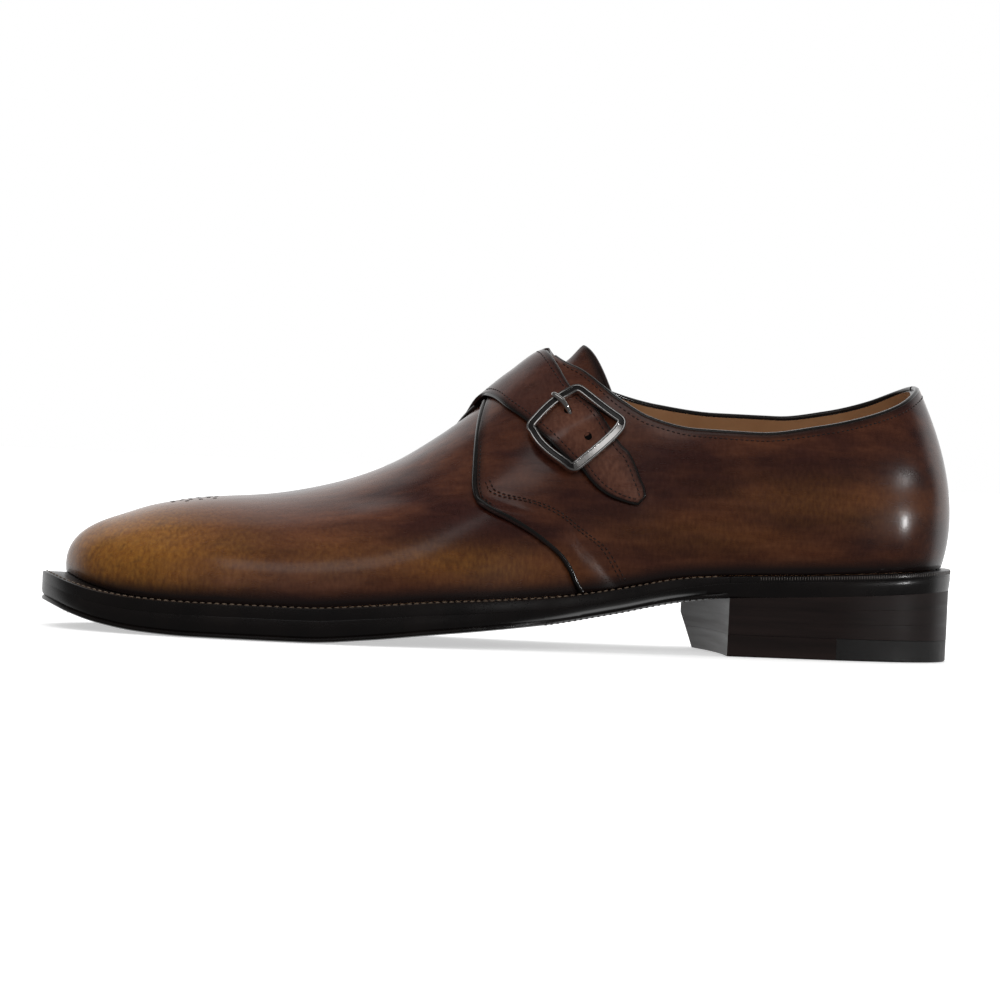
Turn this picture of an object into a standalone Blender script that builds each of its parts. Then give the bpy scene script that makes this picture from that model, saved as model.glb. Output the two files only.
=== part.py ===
"""Monk strap shoe for the left foot, standing on its leather sole and stacked heel.

The shoe lies along X with its toe towards -X. Its outer (lateral) side faces -Y, and the floor is Z = 0.
A station is a place along the sole, from the back of the heel (0) to the toe tip (1).
A place on the upper is given by two shares: round, measured along the sole's edge from the back seam (0)
to the toe tip (1), and girth, from the feather edge at the welt (0) up to the topline or the ridge (1).
"""

import math
from collections import namedtuple

import bmesh
import bpy
from mathutils import Vector

MM = 0.001

# Driving sizes of the whole shoe
SHOE_LENGTH = 310 * MM
BALL_WIDTH = 103 * MM
SEAT_HEIGHT = 21.0 * MM
TOE_SPRING = 8.2 * MM
BACK_HEIGHT = 92.5 * MM
INSTEP_HEIGHT = 97.0 * MM

# Leather thicknesses and the clearance between pieces
WALL = 1.8 * MM
PANEL = 1.1 * MM
STRAP_THICKNESS = 1.6 * MM
TONGUE_THICKNESS = 2.0 * MM
BACK_STRIP_THICKNESS = 1.6 * MM
CLEARANCE = 0.3 * MM

# Sole and heel
OUTSOLE_THICKNESS = 7.0 * MM
WELT_THICKNESS = 3.7 * MM
INSOLE_RISE = 1.6 * MM
LIP_HEIGHT = 1.7 * MM
GROOVE_DEPTH = 0.8 * MM
BEVEL_DEPTH = 4.5 * MM
TOP_PIECE_THICKNESS = 7.3 * MM
LIFT_COUNT = 3
HEEL_INSET = 0.6 * MM
BREAST_STATION = 0.277
BREAST_HOLLOW = 0.009
NOTCH_ALONG = 13 * MM
NOTCH_ACROSS = 12.5 * MM
NOTCH_RISE = 11.5 * MM
RUBBER_LATERAL = 0.155
RUBBER_MEDIAL = 0.088
SPLIT_GAP = 0.0012

# Mesh counts
SOLE_STEPS = 46
SOLE_COLUMNS = 6
HEEL_STEPS = 16
COLLAR_STEPS = 23
VAMP_STEPS = 24
GIRTH_STEPS = 12
THROAT = 0.45
SIDE_END = 0.395
VAULT_START = 0.34
VAULT_FULL = 0.40

LATERAL = -1
MEDIAL = 1

SolePlan = namedtuple("SolePlan", "station centre half margin")
# Shares of the ball's width; margin is how far the sole reaches out past the upper.
SOLE_PLAN = [
    SolePlan(0.000, 0.000, 0.000, 0.048),
    SolePlan(0.012, 0.000, 0.136, 0.046),
    SolePlan(0.040, 0.000, 0.228, 0.043),
    SolePlan(0.090, 0.000, 0.292, 0.038),
    SolePlan(0.160, 0.000, 0.319, 0.034),
    SolePlan(0.240, -0.005, 0.316, 0.034),
    SolePlan(0.320, -0.021, 0.304, 0.040),
    SolePlan(0.400, -0.042, 0.309, 0.047),
    SolePlan(0.480, -0.053, 0.340, 0.052),
    SolePlan(0.560, -0.051, 0.396, 0.054),
    SolePlan(0.640, -0.033, 0.455, 0.055),
    SolePlan(0.700, -0.012, 0.488, 0.055),
    SolePlan(0.760, 0.008, 0.493, 0.056),
    SolePlan(0.820, 0.022, 0.468, 0.058),
    SolePlan(0.880, 0.029, 0.408, 0.061),
    SolePlan(0.930, 0.034, 0.330, 0.065),
    SolePlan(0.965, 0.037, 0.236, 0.069),
    SolePlan(0.988, 0.039, 0.139, 0.073),
    SolePlan(1.000, 0.039, 0.000, 0.075),
]

SoleSide = namedtuple("SoleSide", "station arch spring sole welt bevel")
# Underside heights as shares of the seat height (arch) and of the toe spring (spring), then the
# shares of the outsole's thickness, the welt's thickness and the waist's bevel.
SOLE_SIDE = [
    SoleSide(0.000, 1.167, 0.00, 0.72, 0.48, 0.0),
    SoleSide(0.100, 1.060, 0.00, 0.72, 0.48, 0.0),
    SoleSide(0.180, 0.990, 0.00, 0.72, 0.48, 0.0),
    SoleSide(0.277, 0.915, 0.00, 0.72, 0.52, 0.2),
    SoleSide(0.330, 0.810, 0.00, 0.70, 0.75, 0.8),
    SoleSide(0.400, 0.590, 0.00, 0.70, 0.88, 1.0),
    SoleSide(0.470, 0.400, 0.00, 0.76, 0.93, 0.8),
    SoleSide(0.540, 0.280, 0.00, 0.84, 0.96, 0.3),
    SoleSide(0.610, 0.180, 0.00, 0.92, 1.00, 0.0),
    SoleSide(0.680, 0.070, 0.00, 0.98, 1.00, 0.0),
    SoleSide(0.745, 0.000, 0.00, 1.00, 1.00, 0.0),
    SoleSide(0.860, 0.000, 0.00, 1.00, 1.00, 0.0),
    SoleSide(0.910, 0.000, 0.08, 0.97, 1.00, 0.0),
    SoleSide(0.950, 0.000, 0.30, 0.92, 0.97, 0.0),
    SoleSide(0.980, 0.000, 0.64, 0.88, 0.94, 0.0),
    SoleSide(1.000, 0.000, 1.00, 0.84, 0.90, 0.0),
]

Section = namedtuple("Section", "station out_lateral out_medial low lean drop")
# Shape of one girth, by its station on the feather edge: how far the side swells out and at what share
# of the height, then how far the curve leans out below its top end, and that end's drop as a share.
SECTIONS = [
    Section(0.00, 0.056, 0.056, 0.30, 0.103, 0.33),
    Section(0.04, 0.052, 0.052, 0.30, 0.090, 0.34),
    Section(0.09, 0.044, 0.044, 0.30, 0.068, 0.36),
    Section(0.16, 0.036, 0.036, 0.30, 0.050, 0.38),
    Section(0.24, 0.030, 0.032, 0.30, 0.045, 0.38),
    Section(0.32, 0.030, 0.040, 0.30, 0.062, 0.34),
    Section(0.39, 0.034, 0.050, 0.30, 0.100, 0.27),
    Section(0.45, 0.036, 0.052, 0.37, 0.205, 0.00),
    Section(0.50, 0.038, 0.050, 0.42, 0.205, 0.00),
    Section(0.55, 0.038, 0.046, 0.46, 0.215, 0.00),
    Section(0.65, 0.032, 0.038, 0.52, 0.250, 0.00),
    Section(0.75, 0.026, 0.030, 0.55, 0.270, 0.00),
    Section(0.85, 0.018, 0.018, 0.56, 0.250, 0.00),
    Section(0.92, 0.016, 0.016, 0.58, 0.195, 0.00),
    Section(0.96, 0.016, 0.016, 0.58, 0.143, 0.00),
    Section(1.00, 0.016, 0.016, 0.58, 0.086, 0.00),
]

Lean = namedtuple("Lean", "feather top")
# Which station of the topline or the ridge a girth reaches from its station on the feather edge.
LEANS = [
    Lean(0.00, 0.050),
    Lean(0.04, 0.073),
    Lean(0.09, 0.110),
    Lean(0.16, 0.168),
    Lean(0.24, 0.245),
    Lean(0.32, 0.325),
    Lean(0.39, 0.405),
    Lean(0.45, 0.461),
    Lean(0.55, 0.556),
    Lean(0.65, 0.652),
    Lean(0.75, 0.747),
    Lean(0.85, 0.835),
    Lean(0.92, 0.888),
    Lean(0.96, 0.910),
    Lean(1.00, 0.925),
]

Topline = namedtuple("Topline", "station centre half_lateral half_medial lateral medial")
# The collar's edge: shares of the ball's width, then heights as shares of the back height.
TOPLINE = [
    Topline(0.050, 0.000, 0.000, 0.000, 1.000, 1.000),
    Topline(0.057, 0.000, 0.092, 0.092, 0.982, 0.984),
    Topline(0.083, 0.000, 0.178, 0.178, 0.928, 0.938),
    Topline(0.125, 0.000, 0.230, 0.230, 0.876, 0.896),
    Topline(0.180, -0.002, 0.258, 0.258, 0.832, 0.868),
    Topline(0.250, -0.005, 0.268, 0.262, 0.797, 0.868),
    Topline(0.320, -0.004, 0.262, 0.240, 0.800, 0.888),
    Topline(0.370, 0.000, 0.242, 0.200, 0.834, 0.920),
    Topline(0.405, 0.004, 0.203, 0.155, 0.896, 0.954),
    Topline(0.435, 0.008, 0.132, 0.100, 0.985, 1.010),
    Topline(0.461, 0.010, 0.000, 0.000, 1.049, 1.049),
]

Ridge = namedtuple("Ridge", "station side height")
# The line along the top of the vamp, and on over the collar where the foot goes in, as far as it shapes
# the collar's sides. Heights are shares of the instep height.
RIDGE = [
    Ridge(0.380, 0.002, 1.005),
    Ridge(0.405, 0.004, 1.010),
    Ridge(0.435, 0.008, 1.006),
    Ridge(0.461, 0.010, 1.000),
    Ridge(0.500, 0.018, 0.915),
    Ridge(0.540, 0.028, 0.804),
    Ridge(0.580, 0.037, 0.704),
    Ridge(0.630, 0.046, 0.602),
    Ridge(0.690, 0.052, 0.528),
    Ridge(0.760, 0.053, 0.480),
    Ridge(0.830, 0.049, 0.458),
    Ridge(0.880, 0.045, 0.428),
    Ridge(0.925, 0.041, 0.380),
]


Seam = namedtuple("Seam", "girth lateral medial")
# How far round the quarters reach, up the girth. Both meet the vamp here.
SEAMS = [
    Seam(0.000, 0.434, 0.440),
    Seam(0.125, 0.455, 0.458),
    Seam(0.200, 0.477, 0.470),
    Seam(0.300, 0.510, 0.490),
    Seam(0.370, 0.531, 0.505),
    Seam(0.420, 0.5395, 0.515),
    Seam(0.460, 0.5405, 0.522),
    Seam(0.560, 0.5370, 0.534),
    Seam(0.680, 0.5310, 0.5375),
    Seam(0.820, 0.5220, 0.528),
    Seam(1.000, 0.508, 0.508),
]
STRIP_ROUND = 0.0087

Strap = namedtuple("Strap", "front_round front_girth rear_round rear_girth")
# The two edges of the strap, from the ridge of the instep down to its tip. Girths here are full girths.
STRAP = [
    Strap(0.508, 1.000, 0.450, 1.000),
    Strap(0.503, 0.880, 0.449, 0.890),
    Strap(0.496, 0.750, 0.446, 0.785),
    Strap(0.486, 0.656, 0.441, 0.706),
    Strap(0.477, 0.592, 0.432, 0.659),
    Strap(0.468, 0.528, 0.420, 0.606),
    Strap(0.458, 0.473, 0.410, 0.552),
    Strap(0.447, 0.432, 0.402, 0.506),
    Strap(0.436, 0.405, 0.395, 0.460),
    Strap(0.428, 0.370, 0.387, 0.425),
    Strap(0.418, 0.335, 0.382, 0.385),
    Strap(0.406, 0.308, 0.378, 0.342),
    Strap(0.392, 0.286, 0.374, 0.302),
    Strap(0.381, 0.268, 0.373, 0.278),
]

Frame = namedtuple("Frame", "round girth bow")
# The corners of the buckle's frame, and how far the side after each corner bows out.
FRAME = [
    Frame(0.4825, 0.578, 0.000),
    Frame(0.4330, 0.674, 0.000),
    Frame(0.3890, 0.520, 0.000),
    Frame(0.4490, 0.393, 0.004),
]
BAR_RADIUS = 1.2 * MM
MIDDLE_BAR_RADIUS = 0.8 * MM
MIDDLE_BAR_WAY = 5.5
BAR_BUMP = 2.5 * MM

Prong = namedtuple("Prong", "way height radius")
PRONG_SHARE = 0.56
# The pin, from beside the hidden middle bar, up through the strap and on to the frame. Heights are in mm.
PRONG = [
    Prong(5.12, 2.5, 0.65),
    Prong(4.90, 3.1, 0.70),
    Prong(4.65, 4.5, 0.75),
    Prong(4.40, 6.0, 0.80),
    Prong(4.10, 7.0, 0.80),
    Prong(3.80, 7.3, 0.80),
    Prong(3.58, 7.2, 0.75),
    Prong(3.46, 7.1, 0.45),
]
TONGUE_START = 0.530
TONGUE_END = 0.411
TONGUE_SWEEP = 0.055
TONGUE_GIRTH = 0.60
TONGUE_RISE = 6.5 * MM
TONGUE_STEPS = 14
TONGUE_COLUMNS = 6
REAR_STEPS = 6
STRAP_COLUMNS = 6
STRAP_STEPS = 28


class Curve:
    """A smooth curve through table rows that never overshoots them."""

    def __init__(self, places, values):
        self.places = list(places)
        self.values = list(values)
        count = len(self.places)
        runs = [self.places[k + 1] - self.places[k] for k in range(count - 1)]
        rises = [(self.values[k + 1] - self.values[k]) / runs[k] for k in range(count - 1)]
        slopes = [rises[0]] * count
        slopes[-1] = rises[-1]
        for k in range(1, count - 1):
            before, after = rises[k - 1], rises[k]
            if before * after <= 0:
                slopes[k] = 0.0
            else:
                first = 2 * runs[k] + runs[k - 1]
                second = runs[k] + 2 * runs[k - 1]
                slopes[k] = (first + second) / (first / before + second / after)
        self.runs = runs
        self.slopes = slopes

    def __call__(self, place):
        place = min(max(place, self.places[0]), self.places[-1])
        k = 0
        while k < len(self.runs) - 1 and place > self.places[k + 1]:
            k += 1
        run = self.runs[k]
        share = (place - self.places[k]) / run
        square, cube = share * share, share * share * share
        return (
            (2 * cube - 3 * square + 1) * self.values[k]
            + (cube - 2 * square + share) * run * self.slopes[k]
            + (3 * square - 2 * cube) * self.values[k + 1]
            + (cube - square) * run * self.slopes[k + 1]
        )


def column(table, place, value, scale=1.0):
    """A curve of one named column of a table over another."""
    return Curve([getattr(row, place) for row in table], [getattr(row, value) * scale for row in table])


def round_column(table, place, value, scale=1.0):
    """A curve of a half width that closes in a round end, so its square is what runs smoothly."""
    square = Curve([getattr(row, place) for row in table], [(getattr(row, value) * scale) ** 2 for row in table])
    return lambda at: math.sqrt(max(square(at), 0.0))


sole_centre = column(SOLE_PLAN, "station", "centre", BALL_WIDTH)
sole_half = round_column(SOLE_PLAN, "station", "half", BALL_WIDTH)
sole_margin = column(SOLE_PLAN, "station", "margin", BALL_WIDTH)
arch_height = column(SOLE_SIDE, "station", "arch", SEAT_HEIGHT)
spring_height = column(SOLE_SIDE, "station", "spring", TOE_SPRING)
sole_thickness = column(SOLE_SIDE, "station", "sole", OUTSOLE_THICKNESS)
welt_thickness = column(SOLE_SIDE, "station", "welt", WELT_THICKNESS)
bevel_depth = column(SOLE_SIDE, "station", "bevel", BEVEL_DEPTH)
top_station = column(LEANS, "feather", "top")
swell = {
    LATERAL: column(SECTIONS, "station", "out_lateral", BALL_WIDTH),
    MEDIAL: column(SECTIONS, "station", "out_medial", BALL_WIDTH),
}
swell_height = column(SECTIONS, "station", "low")
top_lean = column(SECTIONS, "station", "lean", BALL_WIDTH)
top_drop = column(SECTIONS, "station", "drop")
collar_centre = column(TOPLINE, "station", "centre", BALL_WIDTH)
collar_half = {
    LATERAL: round_column(TOPLINE, "station", "half_lateral", BALL_WIDTH),
    MEDIAL: round_column(TOPLINE, "station", "half_medial", BALL_WIDTH),
}
collar_height = {
    LATERAL: column(TOPLINE, "station", "lateral", BACK_HEIGHT),
    MEDIAL: column(TOPLINE, "station", "medial", BACK_HEIGHT),
}
ridge_side = column(RIDGE, "station", "side", BALL_WIDTH)
ridge_height = column(RIDGE, "station", "height", INSTEP_HEIGHT)


def along(station):
    """X of a station."""
    return SHOE_LENGTH * (0.5 - station)


def sole_bottom(station):
    return arch_height(station) + spring_height(station)


def sole_top(station):
    return sole_bottom(station) + sole_thickness(station)


def welt_top(station):
    return sole_top(station) + CLEARANCE + welt_thickness(station)


def outline(side, station):
    """A point of the sole's edge in plan."""
    return Vector((along(station), sole_centre(station) + side * sole_half(station), 0))


def outward(side, station):
    """The direction out of the sole's edge in plan."""
    step = 0.0015
    if station < step:
        before, after = outline(-side, step - station), outline(side, station + step)
    elif station > 1 - step:
        before, after = outline(side, station - step), outline(-side, 2 - step - station)
    else:
        before, after = outline(side, station - step), outline(side, station + step)
    run = after - before
    return Vector((side * run.y, -side * run.x, 0)).normalized()


def edge(side, station, inset, height=0.0):
    """A point set in from the sole's edge, at a height."""
    point = outline(side, station) - outward(side, station) * inset
    point.z = height
    return point


def across(station, share, inset, height):
    """A point between the two edges of the sole; share runs from -1 on the lateral side to 1."""
    lateral, medial = edge(LATERAL, station, inset), edge(MEDIAL, station, inset)
    point = lateral.lerp(medial, (1 + share) / 2)
    point.z = height
    return point


def even_stations(start, end, count):
    """Stations spaced evenly along the sole's edge, so that they crowd at its round ends."""
    fine = [start + (end - start) * (1 - math.cos(math.pi * k / 400)) / 2 for k in range(401)]
    points = [outline(LATERAL, station) for station in fine]
    lengths = [0.0]
    for k in range(400):
        lengths.append(lengths[-1] + (points[k + 1] - points[k]).length)
    measure = Curve(lengths, fine)
    return [measure(lengths[-1] * k / count) for k in range(count + 1)]


def measure_edge():
    """The station of each share round the sole's edge."""
    fine = [(1 - math.cos(math.pi * k / 300)) / 2 for k in range(301)]
    points = [outline(LATERAL, station) for station in fine]
    lengths = [0.0]
    for k in range(300):
        lengths.append(lengths[-1] + (points[k + 1] - points[k]).length)
    shares = [length / lengths[-1] for length in lengths]
    return Curve(shares, fine), Curve(fine, shares)


station_of_round, round_of_station = measure_edge()
THROAT_ROUND = round_of_station(THROAT)


def bezier(foot, low, high, top, share):
    left = 1 - share
    return foot * left**3 + low * (3 * left**2 * share) + high * (3 * left * share**2) + top * share**3


def ease(share):
    """A soft step from 0 to 1."""
    share = min(max(share, 0.0), 1.0)
    return share * share * (3 - 2 * share)


def vault_curve(side, station, foot, low_share, lean):
    """The girth that runs right up to the ridge, as the four points of its curve."""
    reach = top_station(station)
    top = Vector((along(reach), ridge_side(reach), ridge_height(reach)))
    forward = max(top.x - foot.x, 0.0) if station > 0.8 else 0.0
    top_out = Vector((-forward, foot.y - top.y, 0)).normalized()
    nearest = min(reach, 0.921)
    slope = (ridge_height(nearest + 0.004) - ridge_height(nearest - 0.004)) / (0.008 * SHOE_LENGTH)
    low = foot + outward(side, station) * swell[side](station)
    low.z += low_share * (top.z - foot.z)
    high = top + top_out * lean
    high.z -= slope * top_out.x * lean
    return foot, low, high, top


def collar_curve(side, station, foot):
    """The girth that ends at the topline, as the four points of its curve."""
    reach = top_station(station)
    top = Vector((along(reach), collar_centre(reach) + side * collar_half[side](reach), collar_height[side](reach)))
    out = outward(side, station)
    top_out = out.lerp(Vector((0, side, 0)), min(station / THROAT, 1.0)).normalized()
    height = top.z - foot.z
    low = foot + out * swell[side](station)
    low.z += swell_height(station) * height
    high = top + top_out * top_lean(station)
    high.z -= top_drop(station) * height
    return foot, low, high, top


def foot_point(side, station):
    return edge(side, station, sole_margin(station), welt_top(station) + CLEARANCE)


def collar_cut(side, station):
    """At what share of the full girth the collar's edge cuts it off."""
    if station >= THROAT:
        return 1.0
    station = max(station, VAULT_START)
    vault = vault_curve(side, station, foot_point(side, station), swell_height(THROAT), top_lean(THROAT))
    reach = top_station(station)
    target = abs(collar_centre(reach) + side * collar_half[side](reach) - vault[3].y)
    below, above = 0.3, 1.0
    for _ in range(24):
        middle = (below + above) / 2
        if abs(bezier(*vault, middle).y - vault[3].y) > target:
            below = middle
        else:
            above = middle
    return above


def upper_point(side, share_round, girth):
    """A point on the outside of the last-shaped upper."""
    station = station_of_round(share_round)
    foot = foot_point(side, station)
    if share_round >= THROAT_ROUND:
        return bezier(*vault_curve(side, station, foot, swell_height(station), top_lean(station)), girth)
    collar = collar_curve(side, station, foot)
    if station < VAULT_START:
        return bezier(*collar, girth)
    vault = vault_curve(side, station, foot, swell_height(THROAT), top_lean(THROAT))
    cut = collar_cut(side, station)
    blend = ease((station - VAULT_START) / (VAULT_FULL - VAULT_START))
    point = bezier(*collar, girth).lerp(bezier(*vault, girth * cut), blend)
    point.z += blend * (collar[3].z - bezier(*vault, cut).z) * girth**3
    return point


def vault_point(side, share_round, full_girth):
    """A point on the upper, by its share of the girth that would run on to the ridge."""
    girth = full_girth / collar_cut(side, station_of_round(share_round))
    return upper_point(side, share_round, min(girth, 1.0))


def clear_scene():
    for item in list(bpy.data.objects):
        bpy.data.objects.remove(item, do_unlink=True)


Finish = namedtuple("Finish", "color roughness metallic")
DARK_EDGE = Finish((0.030, 0.020, 0.016), 0.32, 0.0)
PATINA = Finish((0.180, 0.045, 0.018), 0.34, 0.0)
STACKED = Finish((0.045, 0.026, 0.018), 0.38, 0.0)
LINING = Finish((0.420, 0.230, 0.120), 0.70, 0.0)
FINISHES = {
    "outsole": Finish((0.022, 0.018, 0.017), 0.34, 0.0),
    "welt": DARK_EDGE,
    "heel_rand": DARK_EDGE,
    "insole": LINING,
    "heel_lift_1": STACKED,
    "heel_lift_2": STACKED,
    "heel_lift_3": STACKED,
    "top_piece_leather": STACKED,
    "top_piece_rubber": Finish((0.050, 0.048, 0.046), 0.80, 0.0),
    "upper": PATINA,
    "quarter_lateral": Finish((0.130, 0.030, 0.014), 0.36, 0.0),
    "quarter_medial": Finish((0.140, 0.036, 0.016), 0.36, 0.0),
    "tongue": Finish((0.075, 0.024, 0.016), 0.42, 0.0),
    "back_strip": DARK_EDGE,
    "buckle_frame": Finish((0.230, 0.220, 0.215), 0.16, 1.0),
    "buckle_prong": Finish((0.260, 0.250, 0.240), 0.18, 1.0),
}


def make_material(name, finish):
    material = bpy.data.materials.new(name)
    material.use_nodes = True
    shader = material.node_tree.nodes["Principled BSDF"]
    shader.inputs["Base Color"].default_value = (*finish.color, 1)
    shader.inputs["Roughness"].default_value = finish.roughness
    shader.inputs["Metallic"].default_value = finish.metallic
    return material


def add_object(name, bm):
    """Turn a finished mesh into a named object, with every face turned outwards."""
    bmesh.ops.remove_doubles(bm, verts=bm.verts, dist=0.004 * MM)
    bmesh.ops.dissolve_degenerate(bm, edges=bm.edges, dist=0.002 * MM)
    bmesh.ops.recalc_face_normals(bm, faces=bm.faces)
    mesh = bpy.data.meshes.new(name)
    bm.to_mesh(mesh)
    bm.free()
    mesh.shade_smooth()
    mesh.set_sharp_from_angle(angle=math.radians(38))
    if name in FINISHES:
        mesh.materials.append(make_material(name, FINISHES[name]))
    item = bpy.data.objects.new(name, mesh)
    bpy.context.collection.objects.link(item)
    return item


def add_face(bm, corners):
    """One face, leaving out corners that coincide."""
    kept = []
    for corner in corners:
        if all((corner.co - other.co).length > 0.004 * MM for other in kept):
            kept.append(corner)
    if len(kept) > 2:
        bm.faces.new(kept)


def fill_grid(bm, grid):
    """Faces between the rows of a grid of vertices."""
    for row, following in zip(grid, grid[1:]):
        for k in range(len(row) - 1):
            add_face(bm, (row[k], row[k + 1], following[k + 1], following[k]))


def rim(grid):
    """The vertices round a grid, in order."""
    return (
        grid[0]
        + [row[-1] for row in grid[1:]]
        + list(reversed(grid[-1][:-1]))
        + [row[0] for row in reversed(grid[1:-1])]
    )


def slab(name, levels):
    """A plate between grids of points, the first on top; only the rims of those between are used."""
    bm = bmesh.new()
    grids = [[[bm.verts.new(point) for point in row] for row in level] for level in levels]
    fill_grid(bm, grids[0])
    fill_grid(bm, grids[-1])
    rims = [rim(grid) for grid in grids]
    for upper, lower in zip(rims, rims[1:]):
        for k, vertex in enumerate(upper):
            follow = (k + 1) % len(upper)
            add_face(bm, (vertex, upper[follow], lower[follow], lower[k]))
    loose = [vertex for vertex in bm.verts if not vertex.link_faces]
    bmesh.ops.delete(bm, geom=loose, context="VERTS")
    return bm


def thicken(grids, low, high, extra=None):
    """A leather wall over joined grids of points, between two distances from their surface."""
    bm = bmesh.new()
    more = bm.verts.layers.float.new("more")
    for number, grid in enumerate(grids):
        rows = []
        for row in grid:
            rows.append([bm.verts.new(point) for point in row])
        if extra:
            for row, values in zip(rows, extra[number]):
                for vertex, value in zip(row, values):
                    vertex[more] = value
        fill_grid(bm, rows)
    bmesh.ops.remove_doubles(bm, verts=bm.verts, dist=0.01 * MM)
    bmesh.ops.recalc_face_normals(bm, faces=bm.faces)
    bm.normal_update()
    bm.verts.index_update()
    axis = 45 * MM
    outside = sum(
        vertex.normal.dot(vertex.co - Vector((vertex.co.x * 0.9, 0, axis * 0.6))) for vertex in bm.verts
    )
    turn = 1 if outside > 0 else -1
    points = [vertex.co.copy() for vertex in bm.verts]
    normals = [vertex.normal.copy() * turn for vertex in bm.verts]
    thicker = [vertex[more] for vertex in bm.verts]
    faces = [[vertex.index for vertex in face.verts] for face in bm.faces]
    borders = [(line.verts[0].index, line.verts[1].index) for line in bm.edges if line.is_boundary]
    bm.free()
    foot = {index for pair in borders for index in pair}
    solid = bmesh.new()
    inner, outer = [], []
    for index, (point, normal) in enumerate(zip(points, normals)):
        if index in foot and point.z < 36 * MM:
            normal = Vector((normal.x, normal.y, 0)).normalized()
        inner.append(solid.verts.new(point + normal * low))
        outer.append(solid.verts.new(point + normal * (high + thicker[index])))
    for face in faces:
        solid.faces.new([outer[index] for index in face])
        solid.faces.new([inner[index] for index in reversed(face)])
    for first, second in borders:
        solid.faces.new((inner[first], inner[second], outer[second], outer[first]))
    return solid


def sole_grid(stations, inset, height, columns=SOLE_COLUMNS):
    """A grid over the sole, set in from its edge and at a height for each station."""
    return [
        [across(station, 2 * k / columns - 1, inset(station), height(station)) for k in range(columns + 1)]
        for station in stations
    ]


def build_outsole():
    stations = even_stations(0, 1, SOLE_STEPS)

    def lip(station):
        return 0.0 if station < BREAST_STATION else 1.0

    levels = [
        sole_grid(stations, lambda s: 0.3 * MM, sole_top),
        sole_grid(stations, lambda s: 0.0 + 0.25 * bevel_depth(s), lambda s: sole_top(s) - 0.35 * sole_thickness(s)),
        sole_grid(
            stations,
            lambda s: GROOVE_DEPTH * lip(s) + 0.6 * bevel_depth(s),
            lambda s: sole_bottom(s) + LIP_HEIGHT,
        ),
        sole_grid(stations, lambda s: 0.1 * MM + 0.8 * bevel_depth(s), lambda s: sole_bottom(s) + 0.6 * LIP_HEIGHT),
        sole_grid(stations, lambda s: 0.8 * MM + bevel_depth(s), sole_bottom),
    ]
    add_object("outsole", slab("outsole", levels))


def loft(sections, closed):
    """A solid through a row of closed sections."""
    bm = bmesh.new()
    rings = [[bm.verts.new(point) for point in section] for section in sections]
    pairs = list(zip(rings, rings[1:]))
    if closed:
        pairs.append((rings[-1], rings[0]))
    else:
        bm.faces.new(list(reversed(rings[0])))
        bm.faces.new(rings[-1])
    for ring, following in pairs:
        for k, vertex in enumerate(ring):
            follow = (k + 1) % len(ring)
            bm.faces.new((vertex, ring[follow], following[follow], following[k]))
    return bm


def welt_section(side, station):
    inner = sole_margin(station) + WALL
    low, high = sole_top(station) + CLEARANCE, welt_top(station)
    return [
        edge(side, station, 0.4 * MM, low),
        edge(side, station, 0.0, low + 0.5 * (high - low)),
        edge(side, station, 0.5 * MM, high),
        edge(side, station, inner, high),
        edge(side, station, inner, low),
    ]


def build_welt():
    front = even_stations(BREAST_STATION + 0.003, 1, 44)
    path = [(LATERAL, s) for s in front] + [(MEDIAL, s) for s in reversed(front[:-1])]
    add_object("welt", loft([welt_section(side, station) for side, station in path], False))
    back = even_stations(0, BREAST_STATION, 18)
    path = [(LATERAL, s) for s in reversed(back)] + [(MEDIAL, s) for s in back[1:]]
    add_object("heel_rand", loft([welt_section(side, station) for side, station in path], False))


def build_insole():
    stations = even_stations(0, 1, 34)

    def inset(station):
        return sole_margin(station) + WALL + CLEARANCE

    levels = [
        sole_grid(stations, lambda s: inset(s) + 0.6 * MM, lambda s: welt_top(s) + INSOLE_RISE, 4),
        sole_grid(stations, inset, lambda s: welt_top(s) + INSOLE_RISE - 0.5 * MM, 4),
        sole_grid(stations, inset, lambda s: sole_top(s) + CLEARANCE, 4),
    ]
    add_object("insole", slab("insole", levels))


def breast(share):
    return BREAST_STATION - BREAST_HOLLOW * (1 - share * share)


def split(share):
    return RUBBER_LATERAL + (RUBBER_MEDIAL - RUBBER_LATERAL) * (1 + share) / 2


def heel_grid(start, end, inset, height, steps=HEEL_STEPS, columns=6):
    """A grid over the heel between two lines that cross it, crowded towards its round back."""
    grid = []
    for step in range(steps + 1):
        row = []
        for k in range(columns + 1):
            share = 2 * k / columns - 1
            way = step / steps
            if start(share) == 0:
                way = way * way * (1.6 - 0.6 * way)
            station = start(share) + (end(share) - start(share)) * way
            row.append(across(station, share, inset, height(station)))
        grid.append(row)
    return grid


def cut_notch(bm):
    """Take the inner front corner off, with one flat oblique cut."""
    corner = edge(MEDIAL, BREAST_STATION, HEEL_INSET)
    first = corner + Vector((0, -NOTCH_ACROSS, 0))
    second = corner + Vector((NOTCH_ALONG, 0, 0))
    third = corner + Vector((0, 0, NOTCH_RISE))
    normal = (second - first).cross(third - first).normalized()
    if normal.dot(corner - first) < 0:
        normal.negate()
    everything = bm.verts[:] + bm.edges[:] + bm.faces[:]
    cut = bmesh.ops.bisect_plane(
        bm, geom=everything, dist=0.001 * MM, plane_co=first, plane_no=normal, clear_outer=True
    )
    lines = [item for item in cut["geom_cut"] if isinstance(item, bmesh.types.BMEdge)]
    if lines:
        bmesh.ops.edgenet_fill(bm, edges=lines)


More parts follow.
